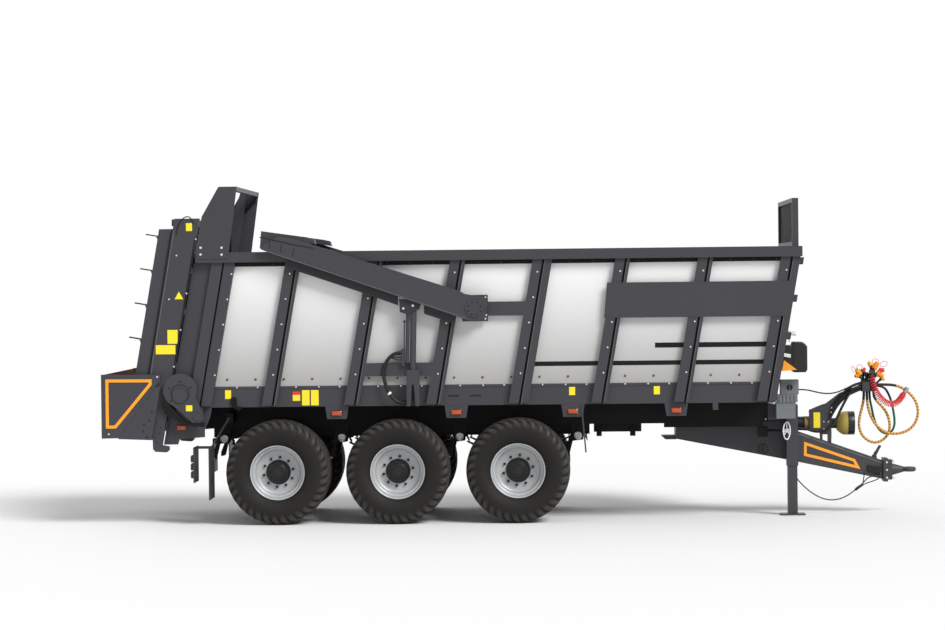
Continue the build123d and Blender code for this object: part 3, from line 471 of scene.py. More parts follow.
ORANGE_STRIPE = finish("orange_stripe", (1.0, 0.38, 0.015), (0.92, 0.33, 0.012), 0.4, broad=5.0)
YELLOW_PLATE = finish("yellow_plate", (0.95, 0.78, 0.02), (0.88, 0.70, 0.02), 0.4, broad=12.0)
RED_PLATE = finish("red_plate", (0.75, 0.04, 0.03), (0.62, 0.03, 0.02), 0.4, broad=12.0)
AMBER_LENS = finish("amber_lens", (0.75, 0.10, 0.006), (0.16, 0.02, 0.004), 0.2, coat=0.3, broad=30.0,
                    fine=90.0, grain=0.4, grain_scale=260.0)
RED_LENS = finish("red_lens", (0.6, 0.015, 0.01), (0.45, 0.01, 0.01), 0.2, coat=0.6, broad=30.0)

NODE_FINISHES = {
    CHASSIS_PAINT: ("chassis", "load_floor", "axles", "springs", "air_tank"),
    WORKING_STEEL: ("floor_chain", "beater_left", "beater_right", "spreading_disc_left",
                    "spreading_disc_right"),
    WALL_SHEET: ("side_walls",),
    CAST_GREY: ("valve_block",),
    BLACK_PLASTIC: ("oil_tank", "pto_shaft"),
    BARE_STEEL: ("cylinder_rod_left", "cylinder_rod_right", "coil_plug", "handwheels"),
}
finish_of = {name: paint for paint, names in NODE_FINISHES.items() for name in names}
for node_name, node in nodes.items():
    for slot_shade in node.material_slots:
        slot_shade.material = finish_of.get(node_name, BODY_PAINT)


# ---------------------------------------------------------------- wheels
LUGS = 35
BAR_HEIGHT = 0.0215


def tread_height(around, across):
    """Height of the bars: each half has bars that run back from the middle, staggered by half a pitch."""
    half = np.where(across >= 0, 0.0, 0.5)
    phase = (LUGS * around / (2 * np.pi) + half + 5.2 * np.abs(across) + 9.0 * across ** 2) % 1.0
    edge = np.abs(phase - 0.5) * 2
    bar = 1 - np.clip((edge - 0.52) / 0.12, 0, 1)
    bar = bar * bar * (3 - 2 * bar)
    groove = np.clip((np.abs(across) - 0.012) / 0.01, 0, 1)
    return BAR_HEIGHT * bar * groove


def tyre(name, centre):
    """A tyre: radius and width follow a section by distance over it, and bars stand on its crown."""
    section = np.array([(0.300, 0.205), (0.306, 0.235), (0.330, 0.262), (0.372, 0.286), (0.420, 0.298),
                        (0.468, 0.297), (0.508, 0.286), (0.536, 0.270), (0.551, 0.252), (0.5595, 0.225),
                        (0.5625, 0.18), (0.5640, 0.12), (0.5650, 0.06), (0.5650, 0.0)])
    section = np.concatenate([section, section[-2::-1] * (1, -1)])
    along = np.concatenate([[0], np.cumsum(np.linalg.norm(np.diff(section, axis=0), axis=1))])
    fine = np.linspace(0, along[-1], 76)
    radius = np.interp(fine, along, section[:, 0])[None, :]
    across = np.interp(fine, along, section[:, 1])[None, :]
    steps = LUGS * 14
    around = circle(steps)[:, None]
    crown = np.clip((radius - 0.478) / 0.05, 0, 1)
    rise = crown * tread_height(around, across)
    ribs = sum(0.0026 * np.exp(-((radius - rib) / 0.0045) ** 2) for rib in (0.333, 0.352, 0.458))
    shoulder = np.clip((0.57 - radius) / 0.07, 0, 1)
    reach = radius + rise * (1 - 0.75 * shoulder)
    width = across + np.sign(across) * (ribs + rise * 0.7 * shoulder)
    width = np.clip(width, -0.2995, 0.2995)
    points = np.stack([reach * np.cos(around), width + 0 * around, reach * np.sin(around)], -1)
    piece = add_mesh(name, points + np.asarray(centre), grid_faces(steps, len(fine), True), RUBBER, 28)
    # the bars' height, which the rubber reads for its lighter bar tops: wear and a painted highlight
    mark_points(piece, "bar_sheen_wear", rise / rise.max())
    return piece


# Sections of the wheel as (radius, distance out from its middle): the rim with its dished disc, and the
# hub's drum with a ribbed cap
RIM_SECTION = [(0.303, -0.245), (0.297, -0.25), (0.288, -0.246), (0.282, -0.2), (0.262, -0.15), (0.258, 0.06),
               (0.245, 0.088), (0.205, 0.093), (0.120, 0.093), (0.120, 0.105), (0.206, 0.105),
               (0.232, 0.109), (0.248, 0.122), (0.254, 0.146), (0.257, 0.172), (0.266, 0.180),
               (0.281, 0.184), (0.286, 0.192), (0.288, 0.232), (0.292, 0.241), (0.299, 0.2455),
               (0.305, 0.2455), (0.3075, 0.249), (0.3075, 0.235), (0.300, 0.228), (0.297, 0.2),
               (0.297, -0.2), (0.300, -0.235)]
HUB_SECTION = [(0.045, -0.08), (0.205, -0.08), (0.205, 0.09), (0.139, 0.092), (0.139, 0.116), (0.134, 0.121),
               (0.121, 0.122), (0.117, 0.128), (0.117, 0.160), (0.111, 0.168), (0.096, 0.170),
               (0.091, 0.174), (0.088, 0.186), (0.074, 0.190), (0.070, 0.186), (0.054, 0.186),
               (0.050, 0.196), (0.0, 0.197)]


def outward(section, side):
    return [(radius, side * y) for radius, y in section]


def ring_of(centre, radius, count, y, turn=0.0):
    angle = turn + circle(count)
    return np.stack([centre[0] + radius * np.cos(angle), np.full(count, centre[1] + y),
                     centre[2] + radius * np.sin(angle)], -1)


def wheel(tag, side, number, axle_x):
    """One wheel: its tyre, rim, hub, ten nuts on 335 mm and ten screws in its cap."""
    body = f"wheel_{tag}_{number}"
    centre = np.array((axle_x, side * WHEEL_Y, TYRE_RADIUS))
    rubber = ride(tyre(f"tread_{tag}_{number}", centre), body)
    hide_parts(f"tyre_{tag}_{number}")
    rim = ride(turned(f"disc_{tag}_{number}", outward(RIM_SECTION, side), centre, SILVER, steps=96,
                      closed=True, smooth_angle=32), body)
    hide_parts(f"rim_{tag}_{number}")
    ride(turned(f"hub_{tag}_{number}", outward(HUB_SECTION, side), centre, HUB_BLACK, steps=60,
                smooth_angle=30), body)
    copies(f"nuts_{tag}_{number}", *bolt_form(0.0165, 0.026, side),
           ring_of(centre, 0.1675, 10, side * 0.105, 0.2), DARK_BOLT, body)
    copies(f"cap_bolts_{tag}_{number}", *bolt_form(0.008, 0.008, side),
           ring_of(centre, 0.104, 10, side * 0.166), DARK_BOLT, body)


for index, axle_x in enumerate(AXLES):
    for tag, side in SIDES:
        wheel(tag, side, index + 1, axle_x)


# ---------------------------------------------------------------- hoses and cables
def hung_curve(name, route, diameter, material):
    """A round hose along its route's curve."""
    curve = nurbs_curve(name, route)
    curve.bevel_depth = diameter / 2
    curve.bevel_resolution = 4
    curve.use_fill_caps = True
    curve.materials.append(material)
    obj = bpy.data.objects.new(name, curve)
    bpy.context.scene.collection.objects.link(obj)
    return obj


def wrapped_hose(name, route, diameter, material, pitch, depth):
    """A hose in a spiral guard: the radius dips along a line that winds round it once every pitch."""
    line, distance = even_points(smooth_line(route), 0.0045)
    around = 12

    def radius(along, angle):
        phase = (along / pitch + angle / (2 * np.pi)) % 1.0
        return diameter / 2 - depth * np.exp(-((phase - 0.5) / 0.14) ** 2)

    hose = sweep_tube(name, line, radius, material, around, distance)
    mark_points(hose, "wind", np.sin(2 * np.pi * distance[:, None] / (2.2 * pitch) + circle(around)))
    return hose, line[::3].tolist() + [line[-1].tolist()]


def curly_cable(name, route, helix_radius, diameter, turns, material):
    """A curly cable: its line winds round the route's line, closer towards the free end."""
    line, distance = even_points(smooth_line(route), 0.0005)
    share = distance / distance[-1]
    across, upward = cross_axes(line)
    turn = (2 * np.pi * turns * (0.5 * share + 0.5 * share ** 2))[:, None]
    swell = np.clip(share / 0.09, 0, 1) * (1 - 0.5 * np.clip((share - 0.94) / 0.06, 0, 1))
    coil = line + helix_radius * swell[:, None] * (np.cos(turn) * across + np.sin(turn) * upward)
    points, _ = even_points(coil, 0.004)
    return sweep_tube(name, points, diameter / 2, material, 8), points


def at_y(route, y):
    return [(x, y, z) for x, z in route]


# Control points of the cords' routes; those of (x, z) lie in one plane
SAFETY_CABLE = [(3.128, -0.195, 0.878), (3.128, -0.195, 0.760), (3.142, -0.200, 0.640),
                (3.165, -0.205, 0.530), (3.215, -0.205, 0.430), (3.290, -0.205, 0.335),
                (3.385, -0.205, 0.250), (3.495, -0.205, 0.180), (3.615, -0.205, 0.148),
                (3.735, -0.205, 0.162), (3.840, -0.200, 0.215), (3.925, -0.185, 0.280),
                (4.005, -0.155, 0.345), (4.070, -0.120, 0.415), (4.140, -0.120, 0.415)]
HOSE_YELLOW_A = [(4.170, 1.468), (4.270, 1.468), (4.370, 1.462), (4.465, 1.432), (4.545, 1.372),
                 (4.610, 1.295), (4.645, 1.205), (4.645, 1.105), (4.610, 1.010), (4.540, 0.940),
                 (4.440, 0.902), (4.330, 0.898), (4.230, 0.938), (4.150, 1.015), (4.098, 1.115),
                 (4.070, 1.215), (4.060, 1.310), (4.060, 1.400)]
HOSE_YELLOW_B = [(4.030, 1.400), (4.030, 1.310), (4.010, 1.210), (3.982, 1.110), (3.968, 1.005),
                 (3.990, 0.905), (4.055, 0.830), (4.145, 0.792), (4.235, 0.815), (4.305, 0.885),
                 (4.330, 0.985), (4.312, 1.090), (4.265, 1.185), (4.190, 1.262), (4.140, 1.330),
                 (4.140, 1.400)]
HOSE_GREEN = [(4.100, 1.400), (4.100, 1.305), (4.122, 1.205), (4.140, 1.105), (4.168, 1.010),
              (4.214, 0.932), (4.283, 0.893), (4.350, 0.915), (4.384, 0.982), (4.386, 1.066),
              (4.374, 1.152), (4.356, 1.245), (4.328, 1.340), (4.265, 1.450), (4.170, 1.450)]
COIL_CABLE = at_y([(4.115, 1.600), (4.115, 1.505), (4.148, 1.408), (4.205, 1.318), (4.290, 1.245),
                   (4.380, 1.245), (4.440, 1.305), (4.485, 1.380)], -0.150)
HOSE_LOWER = [(3.247, -0.140, 0.975), (3.340, -0.140, 0.975), (3.445, -0.152, 0.935), (3.550, -0.165, 0.938),
              (3.640, -0.165, 0.990), (3.700, -0.165, 1.078), (3.745, -0.165, 1.180), (3.800, -0.165, 1.285),
              (3.850, -0.158, 1.370), (3.920, -0.150, 1.450), (4.000, -0.150, 1.450)]
CONTROL_LINE = [(3.230, -0.600, 1.440), (3.320, -0.600, 1.440), (3.420, -0.530, 1.412),
                (3.520, -0.460, 1.388), (3.620, -0.380, 1.382), (3.715, -0.300, 1.398),
                (3.800, -0.235, 1.430), (3.900, -0.165, 1.475), (4.000, -0.165, 1.475)]
CYLINDER_HOSE = [(-1.245, 1.915), (-1.320, 1.915), (-1.390, 1.860), (-1.435, 1.785), (-1.450, 1.695),
                 (-1.440, 1.600), (-1.410, 1.510), (-1.355, 1.415), (-1.275, 1.352), (-1.187, 1.352)]
HOSE_BUNDLE_Y = 1.154

cable = ride(hung_curve("drawbar_cable", SAFETY_CABLE, 0.014, CABLE_STEEL))
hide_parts("safety_cable")

for name, route, y, width, material, node, length in (
        ("yellow_hose_outer", HOSE_YELLOW_A, -0.070, 0.032, YELLOW_WRAP, "hose_yellow_a", 1.72),
        ("yellow_hose_inner", HOSE_YELLOW_B, -0.025, 0.032, YELLOW_WRAP, "hose_yellow_b", 1.45),
        ("green_hose", HOSE_GREEN, 0.020, 0.028, GREEN_WRAP, "hose_green", 1.28)):
    points = at_y(route, y)
    hose, path = wrapped_hose(name, points, width, material, 0.017, 0.0022)
    ride(hose)
    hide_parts(node)

lower = ride(hung_curve("lower_hose", HOSE_LOWER, 0.030, BLACK_HOSE))
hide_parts("hose_lower")

control = ride(hung_curve("control_cable", CONTROL_LINE, 0.016, BLACK_HOSE))
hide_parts("control_line")

for tag, side in SIDES:
    points = at_y(CYLINDER_HOSE, side * HOSE_BUNDLE_Y)
    bundle, path = wrapped_hose(f"cylinder_bundle_{tag}", points, 0.040, BLACK_HOSE, 0.02, 0.0016)
    ride(bundle)
    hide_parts(f"cylinder_hose_{tag}")

curly, curly_points = curly_cable("curly_cable", COIL_CABLE, 0.032, 0.0125, 34, RED_COIL)
ride(curly)
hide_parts("coil_cable")


# ---------------------------------------------------------------- body trim
REAR_POST = -3.486
POST_LINES = [REAR_POST] + [FIRST_POST + post * BAY for post in range(7)]
BAY_STARTS = [FIRST_POST + post * BAY for post in range(-1, 7)]
POST_ROWS = [1.685 + 0.284 * row for row in range(5)]


def leaning(x, z):
    """Where a line that leans with the posts is at z, from its x at the sill's foot."""
    return x + (z - SILL_LOW) * LEAN


def leaning_strip(name, x, z, y, side, material):
    """A strip that leans with the posts: x from and to at the sill's foot, z from and to, y from and to."""
    plate(name, [(leaning(foot, level), level) for foot, level in rectangle(x, z)], y, side, material)


def seam_outline(top, foot, width):
    """A line of a width in (x, z) from its top to its foot, level at both."""
    half = width / 2
    return [(top[0] - half, top[1]), (top[0] + half, top[1]), (foot[0] + half, foot[1]), (foot[0] - half, foot[1])]


for tag, side in SIDES:
    bolts(f"post_bolts_{tag}", [(leaning(line + 0.075, z) + 0.0016 * line, z - 0.0034 * (line - REAR_POST))
                                for line in POST_LINES for z in POST_ROWS if line < 0.8 or not 2.4 < z < 2.7],
          POST_OUT, side, 0.0115, ZINC)
    bolts(f"sill_bolts_{tag}", [(start + step, 1.541) for start in BAY_STARTS for step in (0.385, 0.643, 0.878)
                                if not -3.06 < start + step < -2.88 and start + step < 2.9],
          WALL_OUT, side, 0.011, ZINC)
    bolts(f"panel_bolts_{tag}", [(-3.22 + 0.32 * step, 1.631) for step in range(20)], WALL_OUT, side, 0.014,
          RUSTY_BOLT)
    bolts(f"rail_bolts_{tag}", [(-3.2 + 0.257 * step, 2.925) for step in range(25)], 1.098, side, 0.007,
          RUSTY_BOLT)
    # a near-black strip just under the rail is the rail's painted shadow
    laid_plate(f"rail_shadow_strip_{tag}", [(-3.33, 2.903), (3.215, 2.903), (3.222, 2.949), (-3.33, 2.949)], 1.061,
               side, CHASSIS_PAINT, 0.037)
    # the sill's ledge above its long seam, and its slots
    laid_plate(f"sill_ledge_{tag}", [(-3.37, 1.524), (2.97, 1.524), (2.974, 1.552), (-3.366, 1.552)], WALL_OUT,
               side, BODY_PAINT, 0.006)
    for x in (-0.668, -0.421):
        laid_plate(f"sill_slot_{tag}_{int(-1000 * x)}", rectangle((x - 0.062, x + 0.062), (1.414, 1.436)),
                   WALL_OUT, side, DARK_BOLT)
    # black bands painted on the front panels
    for low, high, rear, front in ((1.944, 2.000, 1.599, 2.885), (1.750, 1.801, 0.240, 2.883)):
        laid_plate(f"panel_band_{tag}_{int(1000 * low)}", rectangle((rear, front), (low, high)), WALL_OUT, side,
                   BLACK_BAND)
    for number, line in enumerate(POST_LINES[1:]):
        laid_plate(f"slot_foot_{tag}_{number}", rectangle((line + 0.115, line + 0.134), (1.34, 1.40)),
                   WALL_OUT + 0.008, side, DARK_BOLT, 0.003)

SILL_HOOK = [(-3.178, 1.428), (-3.150, 1.432), (-3.120, 1.424), (-3.116, 1.330), (-3.044, 1.318),
             (-3.089, 1.276), (-3.158, 1.322), (-3.180, 1.345)]
for tag, side in SIDES:
    laid_plate(f"sill_hook_{tag}", SILL_HOOK, WALL_OUT, side, CHASSIS_PAINT, 0.03)

# Blank yellow plates: (x from, x to, z from, z to, face)
PLATES = [(-3.655, -3.586, 3.310, 3.399, COLUMN_OUT), (-3.878, -3.764, 2.045, 2.200, COLUMN_OUT),
          (-4.011, -3.790, 1.927, 2.030, COLUMN_OUT), (-3.672, -3.600, 1.286, 1.352, 1.210),
          (-3.247, -3.179, 1.414, 1.512, WALL_OUT), (-2.482, -2.398, 1.385, 1.452, WALL_OUT),
          (-2.378, -2.292, 1.333, 1.505, WALL_OUT), (-2.277, -2.190, 1.333, 1.505, WALL_OUT),
          (0.630, 0.698, 1.420, 1.512, WALL_OUT), (1.580, 1.648, 1.420, 1.512, WALL_OUT)]
for tag, side in SIDES:
    for number, (rear, front, low, high, face) in enumerate(PLATES):
        laid_plate(f"plate_{tag}_{number}", rectangle((rear, front), (low, high)), face, side, YELLOW_PLATE)
    laid_plate(f"plate_{tag}_red", rectangle((-2.482, -2.398), (1.452, 1.490)), WALL_OUT, side, RED_PLATE)
    laid_plate(f"plate_{tag}_three_sided", [(-3.792, 2.545), (-3.695, 2.545), (-3.743, 2.630)], COLUMN_OUT, side,
               YELLOW_PLATE)
MAST_OUT = 0.099
laid_plate("shaft_plate", rectangle((3.443, 3.519), (0.977, 1.155)), MAST_OUT, -1, YELLOW_PLATE)
bolts("mast_bolts", [(3.560, 1.047), (3.560, 0.965), (3.612, 1.046), (3.612, 0.965)], MAST_OUT, -1, 0.009, ZINC)

# Orange outlines on the rear guards and along the drawbar
GUARD_RIM = [(-4.575, 1.652), (-4.575, 1.100), (-4.461, 1.100), (-4.053, 1.588), (-4.053, 1.649)]
DRAWBAR_RIM = [(3.325, 0.823), (3.323, 0.660), (3.975, 0.497), (3.914, 0.613)]


def drawbar_half(x):
    """Half the drawbar's width at x: it tapers evenly from its head to its nose."""
    return np.interp(x, (3.247, 4.24), (0.172, 0.09))


for tag, side in SIDES:
    ride(band(f"guard_rim_{tag}", GUARD_RIM, 0.034, (side * GUARD_OUT, side * (GUARD_OUT + 0.002)), ORANGE_STRIPE))
    stripe = ride(band(f"drawbar_rim_{tag}", DRAWBAR_RIM, 0.032, (0.0, 0.0025), ORANGE_STRIPE))
    move_points(stripe, lambda at: np.stack([at[:, 0], side * (at[:, 1] + drawbar_half(at[:, 0])), at[:, 2]], -1))
    if side < 0:
        stripe.data.flip_normals()
    bolts(f"guard_bolts_{tag}", [(-3.990, 1.675), (-4.544, 1.036)], GUARD_OUT, side, 0.012, ZINC)

# Bolts of the rear unit
COLUMN_BOLTS = [(-3.545, 3.218), (-3.657, 2.609), (-3.729, 2.199), (-3.809, 1.787), (-3.765, 3.036),
                (-3.855, 2.545)]
FOOT_BOLTS = [(-4.055, 1.278), (-4.082, 1.187), (-4.002, 1.170), (-4.144, 1.141), (-3.958, 1.102),
              (-4.157, 1.065), (-3.974, 1.034), (-4.113, 1.001), (-4.001, 0.932)]
PORTAL_BOLTS = [(-3.491, 3.120), (-3.254, 3.117), (-3.492, 3.043), (-3.255, 3.040)]
for tag, side in SIDES:
    bolts(f"column_bolts_{tag}", COLUMN_BOLTS, COLUMN_OUT, side, 0.011, ZINC)
    bolts(f"foot_bolts_{tag}", FOOT_BOLTS, 1.217, side, 0.010, DARK_BOLT)
    bolts(f"portal_bolts_{tag}", PORTAL_BOLTS, 1.173, side, 0.015, ZINC)


# ---------------------------------------------------------------- lamps
def lens(name, x, z, face, side, material):
    """A lamp lens: a shallow cushion, z by x, whose height falls as a fourth power towards its rim."""
    steps = np.linspace(-1, 1, 13)
    u, v = np.meshgrid(steps, steps, indexing="ij")
    swell = 0.010 * np.sqrt(np.clip((1 - u ** 4) * (1 - v ** 4), 0, 1))
    front = np.stack([(x[0] + x[1]) / 2 + u * (x[1] - x[0]) / 2, side * (face + swell),
                      (z[0] + z[1]) / 2 + v * (z[1] - z[0]) / 2], -1)
    count = len(steps)
    places = np.arange(count * count).reshape(count, count)
    rim = [*places[0], *places[1:, -1], *places[-1, -2::-1], *places[-2:0:-1, 0]]
    flat = front.reshape(-1, 3)
    base = flat[rim] - (0, side * 0.004, 0)
    below = [count * count + k for k in range(len(rim))]
    skirt = [[int(rim[k - 1]), int(rim[k]), below[k], below[k - 1]] for k in range(len(rim))]
    faces = grid_faces(count, count) + skirt + [below]
    return ride(add_mesh(name, np.concatenate([flat, base]), faces, material, 35))


MARKERS = (-1.985, -0.639, 0.672, 1.830)
for tag, side in SIDES:
    for number, x in enumerate(MARKERS):
        lens(f"marker_{tag}_{number}", (x - 0.054, x + 0.054), (1.214, 1.266), 1.090, side, AMBER_LENS)
    lens(f"rear_marker_{tag}", (-3.793, -3.692), (1.069, 1.121), 1.080, side, AMBER_LENS)
    # the tail lamps are made facing the left side, then turned to face the rear
    for z, glass in ((0.560, RED_LENS), (0.650, AMBER_LENS), (0.740, RED_LENS)):
        lamp = lens(f"tail_{tag}_{int(1000 * z)}", (-0.065, 0.065), (z - 0.036, z + 0.036), 0.0, 1, glass)
        move_points(lamp, lambda at: np.stack([-3.640 - at[:, 1], side * 1.010 + at[:, 0], at[:, 2]], -1))


# ---------------------------------------------------------------- front
def guard_sheet():
    """The front guard's dark sheet on its front side, pressed into shallow upright ribs: x is a cosine of y."""
    across = np.linspace(-1.052, 1.052, 337)[:, None]
    height = np.array([3.114, 3.558])[None, :]
    x = 3.196 + 0.0035 * np.cos(2 * np.pi * across / 0.1) + 0 * height
    front = np.stack([x, across + 0 * height, height + 0 * across], -1)
    sheet = ride(add_mesh("guard_sheet", front, grid_faces(337, 2), CHASSIS_PAINT, SMOOTH))
    wall = sheet.modifiers.new("thickness", "SOLIDIFY")
    wall.thickness = 0.003


def pto_guard():
    """The shaft's guard in turned sections: a black tube with ribs, a brown band, a yellow cone, a black mouth."""
    def section(name, profile, material, closed=False):
        return ride(turned(name, profile, (0, 0.0, 1.025), material, "X", 56, closed))

    ribs = [(0.082 - 0.004 * (step % 2), 3.26 + 0.0085 * step) for step in range(9)]
    section("guard_tube", [(0.0, 3.249), (0.082, 3.249), *ribs, (0.082, 3.345), (0.0, 3.345)], BLACK_PLASTIC)
    section("guard_band", [(0.0, 3.344), (0.0835, 3.344), (0.0835, 3.412), (0.0805, 3.420), (0.0835, 3.428),
                           (0.0835, 3.516), (0.079, 3.520), (0.0, 3.520)], BROWN_BAND)
    section("guard_neck", [(0.0, 3.519), (0.060, 3.519), (0.060, 3.600), (0.064, 3.604), (0.064, 3.640),
                           (0.060, 3.644), (0.060, 3.711), (0.0, 3.711)], BLACK_PLASTIC)
    section("guard_cone", [(0.0, 3.712), (0.074, 3.712), (0.080, 3.716), (0.104, 3.742), (0.124, 3.768),
                           (0.133, 3.790), (0.1355, 3.806), (0.1355, 3.842), (0.127, 3.842), (0.123, 3.80),
                           (0.0, 3.79)], GUARD_YELLOW)
    section("guard_mouth", [(0.1362, 3.840), (0.1362, 3.914), (0.1345, 3.9175), (0.126, 3.9175),
                            (0.123, 3.91), (0.123, 3.840)], BLACK_PLASTIC, closed=True)
    yoke = section("shaft_yoke", [(0.0, 3.79), (0.046, 3.79), (0.046, 3.83), (0.034, 3.84), (0.034, 3.87),
                                  (0.038, 3.872), (0.038, 3.898), (0.030, 3.900), (0.018, 3.900),
                                  (0.018, 3.84), (0.0, 3.84)], BARE_STEEL)
    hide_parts("pto_shaft")


def ring_wheel(name, centre, turn, radius, grip, spokes, material):
    """A hand wheel: a round grip carried round a circle, with round spokes to its hub, about a turned X axis."""
    around = circle(48)[:, None]
    section = circle(10)[None, :]
    reach = radius + grip * np.cos(section)
    points = np.stack([grip * np.sin(section) + 0 * around, reach * np.cos(around), reach * np.sin(around)], -1)
    verts = points.reshape(-1, 3)
    faces = grid_faces(48, 10, True, True)
    disc = circle(8)[:, None]
    for spoke in range(spokes):
        angle = 2 * np.pi * spoke / spokes + np.pi / 2
        out = np.array((0.0, math.cos(angle), math.sin(angle)))
        ring = 0.75 * grip * (np.cos(disc) * (1, 0, 0) + np.sin(disc) * np.cross(out, (1, 0, 0)))
        start = len(verts)
        faces += [[start + k for k in face] for face in grid_faces(2, 8, False, True)]
        faces += [[start + k for k in range(8)], [start + 8 + k for k in range(8)]]
        verts = np.concatenate([verts, ring + 0.01 * out, ring + radius * out])
    spin = np.radians(turn)
    rotated = np.stack([verts[:, 0] * np.cos(spin) - verts[:, 1] * np.sin(spin),
                        verts[:, 0] * np.sin(spin) + verts[:, 1] * np.cos(spin), verts[:, 2]], -1)
    return ride(add_mesh(name, rotated + np.asarray(centre), faces, material, 50))


def brake_gear():
    """The parking brake's box, spindle and wheel, and the small wheel on the drawbar."""
    box = ride(prism("brake_box", rectangle((2.78, 2.89), (0.90, 1.02)), (-0.50, -0.40), CHASSIS_PAINT))
    bevel(box, 0.004, 2)
    turn = -27
    way = np.array((math.cos(math.radians(turn)), math.sin(math.radians(turn)), 0))
    line = np.array((3.113, -0.56, 0.972)) - np.linspace(-0.012, 0.262, 24)[:, None] * way
    ride(sweep_tube("brake_spindle", line, 0.0135, CHASSIS_PAINT))
    ride(sweep_tube("brake_collar", line[:7], 0.021, WHEEL_WHITE))
    wheel_ring = ring_wheel("brake_wheel", (3.100, -0.56, 0.972), turn, 0.099, 0.0072, 3, WHEEL_WHITE)
    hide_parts("handwheels")
    ring_wheel("small_wheel", (2.850, -0.280, 0.745), 90, 0.056, 0.006, 2, DARK_BOLT)
    ride(turned("small_spindle", [(0.0, -0.286), (0.010, -0.286), (0.010, -0.200), (0.0, -0.200)],
                (2.850, 0, 0.745), DARK_BOLT, steps=20))


def couplers():
    """Hose couplers in the holder, each a stepped turned body, as (x, top)."""
    for number, (x, top) in enumerate(((4.015, 1.646), (4.060, 1.610), (4.105, 1.600))):
        height = top - 1.5
        profile = [(0.0, 0.0), (0.0215, 0.0), (0.0215, 0.3 * height), (0.0195, 0.34 * height),
                   (0.0195, 0.62 * height), (0.0235, 0.66 * height), (0.0235, 0.9 * height), (0.019, height),
                   (0.0, height)]
        ride(turned(f"coupler_{number}", profile, (x, -0.06, 1.501), BLACK_PLASTIC, "Z", 24, smooth_angle=35))


# Dust caps: (place, direction, radius, length, finish), and the section that they share, in shares of both
CAPS = [((4.140, -0.085, 1.655), (0.55, -0.2, 0.8), 0.036, 0.085, ORANGE_CAP),
        ((4.205, -0.075, 1.630), (0.75, -0.25, 0.1), 0.030, 0.060, RED_COIL),
        ((4.180, -0.080, 1.600), (0.75, -0.3, -0.45), 0.033, 0.080, ORANGE_CAP),
        ((3.985, -0.075, 1.590), (-0.45, -0.3, 0.55), 0.033, 0.078, CAP_YELLOW),
        ((4.020, -0.095, 1.625), (0.3, -0.4, 0.7), 0.020, 0.045, RED_COIL),
        ((3.965, -0.085, 1.575), (-0.7, -0.4, -0.1), 0.024, 0.050, ORANGE_CAP),
        ((4.105, -0.100, 1.690), (-0.5, -0.2, 0.8), 0.026, 0.050, CAP_YELLOW),
        ((4.235, -0.085, 1.555), (0.4, -0.5, -0.8), 0.022, 0.045, CAP_YELLOW)]
CAP_SECTION = np.array([(0.0, 0.0), (0.9, 0.0), (1.08, 0.08), (1.08, 0.30), (0.94, 0.34), (0.94, 0.62),
                        (0.8, 0.66), (0.76, 0.94), (0.66, 1.0), (0.0, 1.0)])


def dust_caps():
    """Dust caps, each turned about its direction, on a black stem that runs to it from the holder in a bend:
    start plus share of the way plus a sideways half sine."""
    angle = circle(20)[:, None, None]
    share = np.linspace(0, 1, 14)[:, None]
    for number, (place, direction, radius, length, material) in enumerate(CAPS):
        place = np.array(place)
        way = np.array(direction) / np.linalg.norm(direction)
        across = np.cross(way, (0.0, 1.0, 0.0))
        across /= np.linalg.norm(across)
        ring = np.cos(angle) * across + np.sin(angle) * np.cross(way, across)
        wide, along = CAP_SECTION.T[:, None, :, None]
        points = place + along * length * way + wide * radius * ring
        ride(add_mesh(f"dust_cap_{number}", points, grid_faces(20, len(CAP_SECTION), True), material, 35))
        start = np.array((4.00 + 0.018 * number, -0.075, 1.46))
        line = start + share * (place + 0.004 * way - start)
        line[:, 0] += 0.012 * np.sin(np.pi * share[:, 0])
        ride(sweep_tube(f"coupler_stem_{number}", line, lambda at, turn: 0.0125 + 0.005 * (at > 0.62),
                        BLACK_PLASTIC, 12))


def wire_loops():
    """Thin red wire rings at the dust caps: tilted ovals that sway in Y, as (x, z, wide, high, tilt)."""
    turn = np.linspace(0, 2 * np.pi, 49)
    for number, (x, z, wide, high, tilt) in enumerate((
            (3.915, 1.640, 0.018, 0.046, 0.5), (3.978, 1.672, 0.032, 0.028, 0.2),
            (4.160, 1.735, 0.036, 0.030, 0.1), (4.255, 1.706, 0.042, 0.028, 0.5))):
        away = wide * np.cos(turn)
        rise = high * np.sin(turn)
        line = np.stack([x + away * math.cos(tilt) - rise * math.sin(tilt), -0.09 + 0.02 * np.sin(turn),
                         z + away * math.sin(tilt) + rise * math.cos(tilt)], -1)
        ride(sweep_tube(f"wire_loop_{number}", line, 0.0032, RED_COIL, 6))


def tank_trim():
    """The oil tank's orange corner plate, its blank white plate, and a white breather with a yellow stem."""
    laid_plate("tank_corner", [(3.052, 1.784), (3.026, 1.660), (3.195, 1.676)], 0.900, -1, ORANGE_STRIPE, 0.002)
    laid_plate("tank_plate", [(3.055, 1.864), (3.052, 1.824), (3.125, 1.812), (3.130, 1.850)], 0.900, -1,
               WHEEL_WHITE, 0.002)
    ride(turned("breather", [(0.0, 3.105), (0.024, 3.105), (0.024, 3.165), (0.026, 3.167), (0.026, 3.190),
                             (0.0, 3.190)], (0, -0.85, 2.085), WHEEL_WHITE, "X", 24))
    ride(prism("breather_stem", rectangle((3.108, 3.126), (1.985, 2.115)), (-0.862, -0.838), YELLOW_PLATE))


